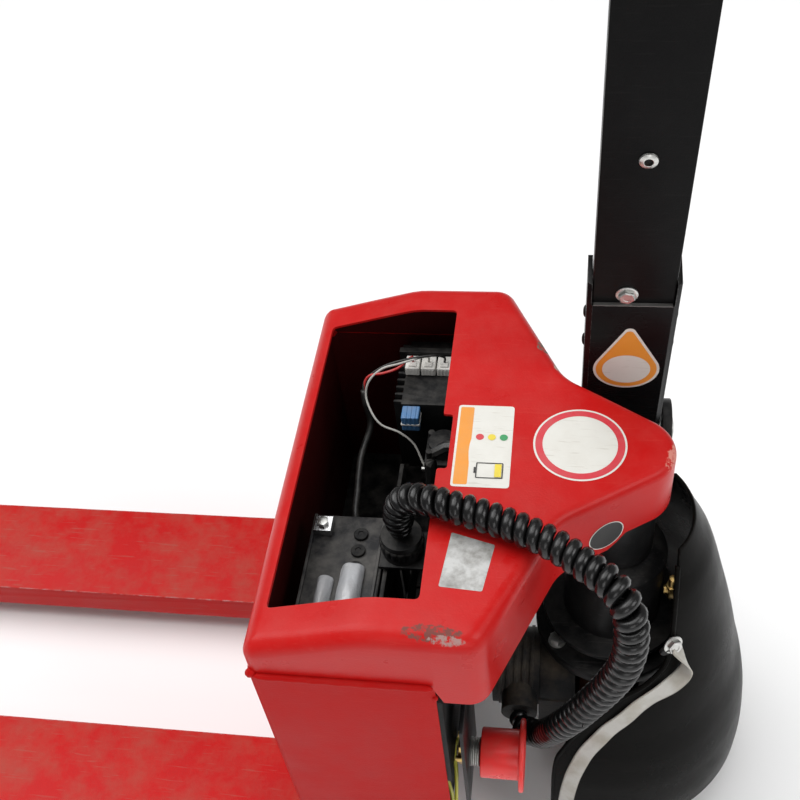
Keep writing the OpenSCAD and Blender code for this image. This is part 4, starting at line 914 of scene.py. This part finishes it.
# ---- rollers, levers and rods ----
# The lift's lever, rods and arms under the forks are painted steel, and the load rollers
# are pale polyurethane on steel bushes.
roller_pu = surface("load_roller", (0.62, 0.5, 0.3), 0.42, grain=(500.0, 60.0, 0.5, 0.0005),
                    wear=(0.002, 60.0, 0.6, (0.22, 0.17, 0.12), 0.6), dust=(30.0, 0.6, (0.12, 0.09, 0.07)))
tyre_pu = surface("drive_tyre", (0.3, 0.1, 0.045), 0.46, grain=(500.0, 60.0, 0.5, 0.0006),
                  dust=(30.0, 0.6, (0.12, 0.09, 0.07)), scratch=(20.0, 0.5, (0.12, 0.06, 0.04)))
dress("left_roller_arm right_roller_arm", red_enamel, 0.001)
dress("left_pull_rod right_pull_rod rocker_shaft", black_steel, 0.0008)
dress("left_load_roller right_load_roller", roller_pu, 0.0015, 3)

# ---- lift column and drive unit ----
# The whole drive turns under the column on a ball ring: a cast yoke with the gearbox, the
# upright motor and its brake, and a cast wheel with a bonded polyurethane tyre.
dress("guide_sleeve lift_column", black_steel, 0.001)
dress("lift_ram", ground, 0.0006)
dress("oil_fitting", brass, 0.0006)
dress("turntable_bearing", zinc, 0.001)
dress("steering_flange drive_yoke", black_steel, 0.002)
dress("gearbox drive_motor motor_brake", cast_iron, 0.0018, 3)
dress("flange_bolts tiller_pin", zinc, 0.0006)
dress("return_spring", ground, 0)
dress("wheel_hub", cast_iron, 0.0015)
dress("drive_tyre", tyre_pu, 0.004, 3)

# ---- wheel guard ----
# A thin black shell that turns with the drive unit and keeps feet off the wheel. It is one
# drawn sheet with a beaded edge, bolted under the steering flange by its web.
guard_profile = [(0.189, 0.08), (0.189, 0.104), (0.184, 0.17), (0.175, 0.222), (0.162, 0.275), (0.151, 0.324),
                 (0.131, 0.4), (0.11, 0.472), (0.097, 0.5), (0.084, 0.53)]
guard_edge = [(-0.066, 0.08), (-0.066, 0.12), (-0.066, 0.165), (-0.064, 0.205), (-0.048, 0.253), (-0.03, 0.29),
              (-0.009, 0.322), (0.011, 0.348), (0.031, 0.361), (0.048, 0.373), (0.06, 0.395), (0.064, 0.425),
              (0.064, 0.48), (0.064, 0.53)]


def along_height(pairs, z):
    """Smooth value at a height, from (value, height) pairs."""
    pairs = sorted(pairs, key=lambda q: q[1])
    for i in range(len(pairs) - 1):
        if z <= pairs[i + 1][1] or i == len(pairs) - 2:
            z0, z1 = pairs[i][1], pairs[i + 1][1]
            t = max(0.0, min(1.0, (z - z0) / (z1 - z0)))
            a, b = pairs[i][0], pairs[i + 1][0]
            slope = []
            for j in (i, i + 1):
                if 0 < j < len(pairs) - 1:
                    left = (pairs[j][0] - pairs[j - 1][0]) / (pairs[j][1] - pairs[j - 1][1])
                    right = (pairs[j + 1][0] - pairs[j][0]) / (pairs[j + 1][1] - pairs[j][1])
                    slope.append(0.0 if left * right <= 0 else 2 * left * right / (left + right))
                else:
                    slope.append((b - a) / (z1 - z0))
            h = z1 - z0
            return (a * (2 * t ** 3 - 3 * t ** 2 + 1) + h * slope[0] * (t ** 3 - 2 * t ** 2 + t)
                    + b * (3 * t ** 2 - 2 * t ** 3) + h * slope[1] * (t ** 3 - t ** 2))


def on_guard(degrees, z, out=0.0):
    """A point on the guard's outer face, at an angle about the steering axis."""
    r = along_height(guard_profile, z) + out
    return at(r * math.cos(math.radians(degrees)), r * math.sin(math.radians(degrees)), z)


guard_black = surface("guard_black", (0.004, 0.0039, 0.0036), 0.3, grain=(700.0, 40.0, 0.6, 0.0005),
                      wear=(0.0015, 120.0, 0.5, (0.09, 0.085, 0.08), 0.5), dust=(16.0, 0.02, dust_brown),
                      scratch=(20.0, 0.12, (0.03, 0.028, 0.026)), shine=0.03)
guard_foot, guard_head, guard_rows, columns = 0.0802, 0.5298, 128, 72
levels = [guard_foot + (guard_head - guard_foot) * k / guard_rows for k in range(guard_rows + 1)]
points, rims = [], ([], [])
for z in levels:
    r = along_height(guard_profile, z) - 0.0004
    edge_x = along_height(guard_edge, z)
    open_by = math.degrees(math.acos(max(-1.0, min(1.0, edge_x / r))))
    for k in range(columns + 1):
        points.append(on_guard(open_by * (2 * k / columns - 1), z, -0.0004))
    rims[0].append(on_guard(-open_by, z, -0.0022))
    rims[1].append(on_guard(open_by, z, -0.0022))
guard = mesh_object("guard_shell", points, grid_faces(len(levels), columns + 1), guard_black)
sheet_steel(guard, 0.0038, 0.001)
fasten(guard, "drive_unit", "wheel_guard")
for name, line in zip(("guard_bead_near", "guard_bead_far"), rims):
    fasten(tube_mesh(name, smooth_line(line[3:-3:6], 0.006), 0.0031, 10, guard_black), "drive_unit")
block("guard_web", at(0.055, -0.042, 0.2792), at(0.15, 0.042, 0.2848), guard_black, 0.0012, body="drive_unit")
lathe("guard_stud", on_guard(-64, 0.415, -0.001), on_guard(-64, 0.415, 1) - on_guard(-64, 0.415),
      [(0, 0), (0, 0.007), (0.001, 0.0074), (0.004, 0.0068), (0.0056, 0.0045), (0.006, 0)], black_steel, 28,
      "drive_unit")

# ---- lifting strap ----
# An ivory polyester webbing, 20 mm wide, bolted high on the guard. It lies down over the
# guard's side and has one turn in it below the bolt.
strap_route = [(-60.4, 0.424), (-58.2, 0.413), (-56.0, 0.4), (-55.6, 0.386), (-58.2, 0.375), (-62.6, 0.366),
               (-67.8, 0.357), (-73.6, 0.346), (-79.4, 0.333), (-85.6, 0.314), (-91.8, 0.29), (-97.2, 0.261),
               (-100.8, 0.231), (-103.2, 0.195), (-104.6, 0.15), (-105.2, 0.102)]
webbing = new_material("webbing")
tree = webbing.node_tree
across = add(tree, "Attribute", attribute_name="across").outputs["Fac"]
along = add(tree, "Attribute", attribute_name="along").outputs["Fac"]
waves = [maths(tree, "SINE", maths(tree, "MULTIPLY", value, rate * 2 * math.pi))
         for value, rate in ((across, 9.0), (along, 620.0))]
weave = ramp(tree, maths(tree, "MULTIPLY", *waves), -1.0, 1.0)
colour = mixed(tree, ramp(tree, speckle(tree, 38.0, 6.0), 0.4, 0.72), (0.78, 0.77, 0.72, 1), (0.56, 0.52, 0.44, 1))
edge = maths(tree, "ABSOLUTE", maths(tree, "SUBTRACT", across, 0.5))
colour = mixed(tree, ramp(tree, edge, 0.4, 0.5, 0.0, 0.5), colour, (0.36, 0.33, 0.27, 1))
# The weave's hollows, low in the bump, are darkened towards brown: painted shade
colour = mixed(tree, ramp(tree, weave, 0.0, 1.0, 0.3, 0.0), colour, (0.16, 0.14, 0.11, 1))
bump = add(tree, "Bump", {"Height": weave, "Distance": 0.0008})
shader = add(tree, "BsdfPrincipled", {"Base Color": colour, "Roughness": 0.88, "Normal": bump.outputs[0],
                                      "Sheen Weight": 0.2})
tree.links.new(shader.outputs[0], add(tree, "OutputMaterial").inputs[0])

strap_line = smooth_line([on_guard(a, z, 0.0016) for a, z in strap_route], 0.0025)
ahead = [(strap_line[min(i + 1, len(strap_line) - 1)] - strap_line[max(i - 1, 0)]).normalized()
         for i in range(len(strap_line))]
half_width, lanes, long = 0.0098, 8, 0.0
points, marks, edge_marks = [], [], []
for i, p in enumerate(strap_line):
    long += (p - strap_line[i - 1]).length if i else 0.0
    radial = Vector((p.x - steer_x, p.y, 0.35 * math.hypot(p.x - steer_x, p.y))).normalized()
    side = ahead[i].cross(radial).normalized()
    out = side.cross(ahead[i]).normalized()
    share = max(0.0, min(1.0, long / 0.105))
    turn = math.pi * (0.24 + 0.76 * share * share * (3 - 2 * share))
    wide = math.cos(turn) * side + math.sin(turn) * out
    rise = abs(math.sin(turn)) * half_width * 0.92 + 0.0016 * math.sin(long * 55) ** 2
    for k in range(lanes + 1):
        lane = 2 * k / lanes - 1
        points.append(p + out * rise + wide * (lane * half_width))
        marks.append(long)
        edge_marks.append(k / lanes)
strap = mesh_object("webbing_strap", points, grid_faces(len(strap_line), lanes + 1), webbing)
for name, values in (("along", marks), ("across", edge_marks)):
    strap.data.attributes.new(name, "FLOAT", "POINT").data.foreach_set("value", values)
thicken(strap, 0.0016, 0)
fasten(strap, "drive_unit", "guard_strap")
bolt_at = on_guard(-60.2, 0.4235, 0.0032)
bolt_up = on_guard(-60.2, 0.4235, 1) - on_guard(-60.2, 0.4235) + Vector((0, 0, 0.3))
lathe("strap_washer", bolt_at, bolt_up, [(0, 0), (0, 0.0118), (0.0014, 0.0118), (0.0018, 0.0112), (0.0018, 0)],
      zinc, 36, "drive_unit")
lathe("strap_bolt", bolt_at + bolt_up.normalized() * 0.0018, bolt_up,
      [(0, 0), (0, 0.0088), (0.0052, 0.0088), (0.0062, 0.0076), (0.0062, 0.004), (0.0056, 0.0036), (0.0056, 0)],
      zinc, 6, "drive_unit")

# ---- tiller ----
# A folded channel hinges on the drive unit's bracket. A rectangular tube is bolted inside
# it and carries the head. The channel is gloss black and the tube satin, chipped at the edges.
gloss_black = surface("gloss_black", (0.0045, 0.0045, 0.0048), 0.24, grain=(420.0, 36.0, 0.5, 0.0003),
                      wear=(0.0014, 120.0, 0.7, (0.2, 0.195, 0.19), 0.45), dust=(20.0, 0.04, dust_grey),
                      scratch=(22.0, 0.1, (0.035, 0.033, 0.032)), shine=0.09)
satin_black = surface("satin_black", (0.004, 0.004, 0.0042), 0.36, grain=(640.0, 60.0, 0.5, 0.0003),
                      wear=(0.0012, 120.0, 0.35, (0.1, 0.1, 0.1), 0.5), dust=(20.0, 0.04, dust_grey),
                      scratch=(22.0, 0.1, (0.025, 0.024, 0.023)), shine=0.07)
dress("tiller_bracket", black_steel, 0.0014)
dress("tiller_channel", gloss_black, 0.0012, 3)
dress("tiller_tube", satin_black, 0.0035, 4)

tiller_turn = Matrix.Rotation(math.radians(8.7), 3, "X")
pivot = at(0, 0.147, 0.5)
tiller_place = Matrix.Translation(pivot) @ tiller_turn.to_4x4()


def on_tiller(x, y, z):
    """A point given in the tiller's own directions from its hinge."""
    return pivot + tiller_turn @ Vector((x, y, z))


def tiller_way(x, y, z):
    return tiller_turn @ Vector((x, y, z))


lathe("tiller_bolt", on_tiller(-0.007, -0.0162, 0.282), tiller_way(0, -1, 0),
      [(0, 0), (0, 0.0112), (0.0012, 0.0112), (0.0014, 0.009), (0.0052, 0.009), (0.0066, 0.0078),
       (0.0066, 0.0045), (0.0061, 0.0041), (0.0061, 0)], zinc, 6, "tiller", "tiller_screws")
lathe("tiller_bolt_washer", on_tiller(-0.007, -0.016, 0.282), tiller_way(0, -1, 0),
      [(0, 0), (0, 0.0115), (0.0012, 0.0115), (0.0015, 0.011), (0.0015, 0)], zinc, 36, "tiller")
lathe("tube_screw", on_tiller(0, -0.016, 0.47), tiller_way(0, -1, 0),
      [(0, 0), (0, 0.0082), (0.001, 0.0088), (0.0026, 0.0084), (0.0038, 0.0066), (0.0042, 0.0046), (0.004, 0.0042)],
      zinc, 40, "tiller")
lathe("tube_screw_socket", on_tiller(0, -0.016, 0.47), tiller_way(0, -1, 0),
      [(0.004, 0.0043), (0.004, 0.0042), (0.0014, 0.004), (0.0013, 0)], cast_iron, 6, "tiller")
for side in (-1, 1):
    for z in (0.18, 0.23):
        lathe(f"channel_rivet_{'ab'[side > 0]}{'lh'[z > 0.2]}", on_tiller(side * 0.0476, 0.002, z),
              tiller_way(side, 0, 0), [(0, 0), (0, 0.0068), (0.0008, 0.0066), (0.002, 0.005), (0.0026, 0.0024),
                                       (0.0027, 0)], satin_black, 28, "tiller")
# The channel's cut edge, rubbed bright
rubbed = surface("rubbed_edge", (0.3, 0.29, 0.28), 0.4, vary=0.4, grain=(900.0, 80.0, 0.4, 0.0002), metal=0.8)
block("channel_lip", (-0.0405, -0.0209, 0.268), (0.0405, -0.0163, 0.2686), rubbed, 0.0002, body="tiller",
      placed=tiller_place)

# ---- tiller head ----
# The moulded housing with its two loop handles, the thumb levers, the push buttons, the
# key and the red belly button.


def circle(u, v, r, count=48, squeeze=1.0):
    """An outline's points round a centre."""
    return [(u + r * math.cos(2 * math.pi * k / count), v + r * squeeze * math.sin(2 * math.pi * k / count))
            for k in range(count)]


moulded = surface("moulded_black", (0.013, 0.013, 0.0135), 0.46, grain=(3200.0, 300.0, 0.3, 0.00018),
                  wear=(0.002, 90.0, 0.4, (0.05, 0.05, 0.05), 0.35), dust=(40.0, 0.2, dust_grey))
rubber = surface("grip_rubber", (0.017, 0.017, 0.017), 0.62, grain=(2200.0, 160.0, 0.4, 0.0003),
                 dust=(40.0, 0.25, dust_grey), sheen=0.1)
grey_plastic = surface("grey_plastic", (0.55, 0.55, 0.54), 0.36, grain=(2400.0, 200.0, 0.3, 0.0001),
                       dust=(50.0, 0.25, dust_grey))
dress("head_housing", moulded, 0.0008)
dress("handles", moulded, 0)
dress("throttle", case_black, 0.0012, 3)
dress("lift_button lower_button", grey_plastic, 0.0012, 3)
dress("horn_button", blue_plastic, 0.0012, 3)
dress("reverse_button", red_plastic, 0.0022, 4)
for side, label in ((-1, "left"), (1, "right")):
    for z, part in ((0.666, "lower"), (0.742, "upper")):
        ridges = [(0.0, 0.0139), (0.0004, 0.0152)]
        t = 0.001
        while t < 0.04:
            ridges += [(t, 0.0153), (t + 0.0018, 0.0153), (t + 0.0024, 0.0146), (t + 0.003, 0.0146)]
            t += 0.0036
        ridges += [(0.0415, 0.0152), (0.0418, 0.0139)]
        lathe(f"grip_{label}_{part}", on_tiller(side * 0.0615, 0.006, z), tiller_way(side, 0, 0), ridges, rubber, 40,
              "tiller")
# The lock's barrel, with the key in it: a flat shank and a bow with a hole
lathe("key_barrel", on_tiller(0, -0.0272, 0.674), tiller_way(0, -1, 0),
      [(0, 0), (0, 0.0098), (0.0082, 0.0098), (0.009, 0.009), (0.009, 0.0062), (0.0084, 0.0058), (0.0084, 0)],
      zinc, 40, "key", "key_lock")
block("key_shank", (-0.0045, -0.048, 0.6731), (0.0045, -0.035, 0.6749), zinc, 0.0003, body="key",
      placed=tiller_place)
bow_outer = circle(0, -0.052, 0.011, 40, 0.8)
flat, kept, _ = fill_outline([Vector(q) for q in bow_outer], [[Vector(q) for q in circle(0, -0.055, 0.0032, 20)]],
                             0.004)
bow = mesh_object("key_bow", [on_tiller(q[0], q[1], 0.6748) for q in flat], kept, case_black, smooth=False)
thicken(bow, 0.003)
fasten(bow, "key")
# Screws that close the housing, and a ring round each button
for x in (-0.044, 0.044):
    for z in (0.664, 0.744):
        lathe(f"head_screw_{'lr'[x > 0]}{'tb'[z < 0.7]}", on_tiller(x, 0.0328, z), tiller_way(0, 1, 0),
              [(0, 0), (0, 0.004), (0.0008, 0.0038), (0.0012, 0.0022), (0.0004, 0.0018), (0.0004, 0)], zinc, 24,
              "tiller")
for name, x, z, r in (("lift", -0.022, 0.702, 0.0092), ("lower", 0.022, 0.702, 0.0092), ("horn", 0, 0.716, 0.0092),
                      ("key", 0, 0.674, 0.0102)):
    lathe(f"bezel_{name}", on_tiller(x, -0.0329, z), tiller_way(0, -1, 0),
          [(0, r), (0, r + 0.0022), (0.0008, r + 0.0022), (0.0013, r + 0.0016), (0.0013, r), (0, r)], case_black, 40,
          "tiller")

# ---- labels ----
# Printed vinyl on the cover and the tiller. They carry plain shapes and no words.
vinyl_white = surface("vinyl_white", (0.72, 0.71, 0.66), 0.34, vary=0.05, grain=(900.0, 70.0, 0.5, 0.00008),
                      dust=(30.0, 0.2, (0.45, 0.4, 0.33)), scratch=(34.0, 0.5, (0.52, 0.49, 0.43)))
ink_red, ink_orange, ink_yellow, ink_green, ink_black = [
    surface(name, colour, rough, dust=(40.0, 0.2, soil)) for name, colour, rough, soil in [
        ("ink_red", (0.62, 0.03, 0.05), 0.36, (0.4, 0.3, 0.25)),
        ("ink_orange", (0.8, 0.3, 0.035), 0.36, (0.5, 0.35, 0.2)),
        ("ink_yellow", (0.78, 0.62, 0.05), 0.36, (0.4, 0.35, 0.2)),
        ("ink_green", (0.03, 0.3, 0.1), 0.36, (0.2, 0.3, 0.2)),
        ("ink_black", (0.012, 0.012, 0.012), 0.3, dust_grey)]]
plate_grey = surface("plate_grey", (0.5, 0.5, 0.49), 0.42, vary=0.2, grain=(700.0, 60.0, 0.5, 0.0002), metal=0.2,
                     dust=(60.0, 1.0, (0.2, 0.19, 0.17)), scratch=(30.0, 0.8, (0.62, 0.61, 0.58)))


def rectangle(u0, v0, u1, v1, r=0.001):
    return [tuple(p) for p in rounded_outline([(u0, v0, r), (u1, v0, r), (u1, v1, r), (u0, v1, r)])]


def sticker(name, body, place, layers):
    """A label as printed layers, each an outline with holes and an ink, laid on a surface by place."""
    for i, (outer, holes, ink) in enumerate(layers):
        flat, kept, _ = fill_outline([Vector(p) for p in outer], [[Vector(p) for p in h] for h in holes], 0.006)
        points = [place(p[0], p[1], 0.00025 + 0.00012 * i) for p in flat]
        fasten(mesh_object(name if i == 0 else f"{name}_print_{i}", points, kept, ink), body)


def on_cover(u, v, lift):
    return at(u - steer_x, v, cover_height(u - steer_x, v) + lift)


sticker("round_label", "root", on_cover, [
    (circle(0.622, -0.001, 0.05, 72), [], vinyl_white),
    (circle(0.622, -0.001, 0.0478, 72), [circle(0.622, -0.001, 0.04, 72)], ink_red),
])
sticker("battery_label", "root", on_cover, [
    (rectangle(0.4875, -0.065, 0.5495, 0.05, 0.004), [], vinyl_white),
    (rectangle(0.49, -0.062, 0.505, 0.047, 0.002), [], ink_orange),
    (circle(0.514, 0.004, 0.0044, 24), [], ink_red),
    (circle(0.527, 0.004, 0.0044, 24), [], ink_yellow),
    (circle(0.54, 0.004, 0.0044, 24), [], ink_green),
    (rectangle(0.513, -0.053, 0.542, -0.032, 0.0015), [rectangle(0.5141, -0.0519, 0.5409, -0.0331, 0.001)],
     ink_black),
    (rectangle(0.5108, -0.0465, 0.5128, -0.0385, 0.0003), [], ink_black),
    (rectangle(0.533, -0.0512, 0.5402, -0.0338, 0.0006), [], ink_yellow),
])
sticker("grey_plate", "root", on_cover, [
    (rounded_outline([(0.495, -0.124, 0.002), (0.488, -0.189, 0.002), (0.531, -0.192, 0.002),
                      (0.54, -0.137, 0.002)][::-1]), [], plate_grey),
])


def drop_outline(r, tip, tip_r, count=44):
    """A round outline drawn out upwards to a blunt tip."""
    open_at = math.degrees(math.acos((r - tip_r) / tip))
    low = [(r * math.cos(math.radians(a)), r * math.sin(math.radians(a)))
           for a in [90 + open_at + (360 - 2 * open_at) * k / count for k in range(count + 1)]]
    top = [(tip_r * math.cos(math.radians(a)), tip + tip_r * math.sin(math.radians(a)))
           for a in [90 - open_at + 2 * open_at * k / 10 for k in range(11)]]
    return low + top


def on_web(u, v, lift):
    return on_tiller(u, -0.0211 - lift, v + 0.156)


sticker("drop_label", "tiller", on_web, [
    (drop_outline(0.0365, 0.069, 0.006), [], vinyl_white),
    (drop_outline(0.0335, 0.0655, 0.0045), [], ink_orange),
    (circle(0, 0, 0.0265, 56), [], vinyl_white),
])
wall_from, wall_to = Vector((0.0313, -0.0396, 0)), Vector((-0.068, -0.103, 0))
wall_along = (wall_to - wall_from).normalized()
wall_out = Vector((-wall_along.y, wall_along.x, 0))
wall_out = wall_out if wall_out.y < 0 else -wall_out
wall_mid = wall_from.lerp(wall_to, 0.5)


def on_nose(u, v, lift):
    p = wall_mid + wall_along * u + wall_out * (lift + 0.0002)
    return at(p.x, p.y, 0.574 + v)


sticker("round_sticker", "root", on_nose, [
    (circle(0, 0, 0.0215, 56), [], vinyl_white),
    (circle(0, 0, 0.0203, 56), [], ink_black),
])
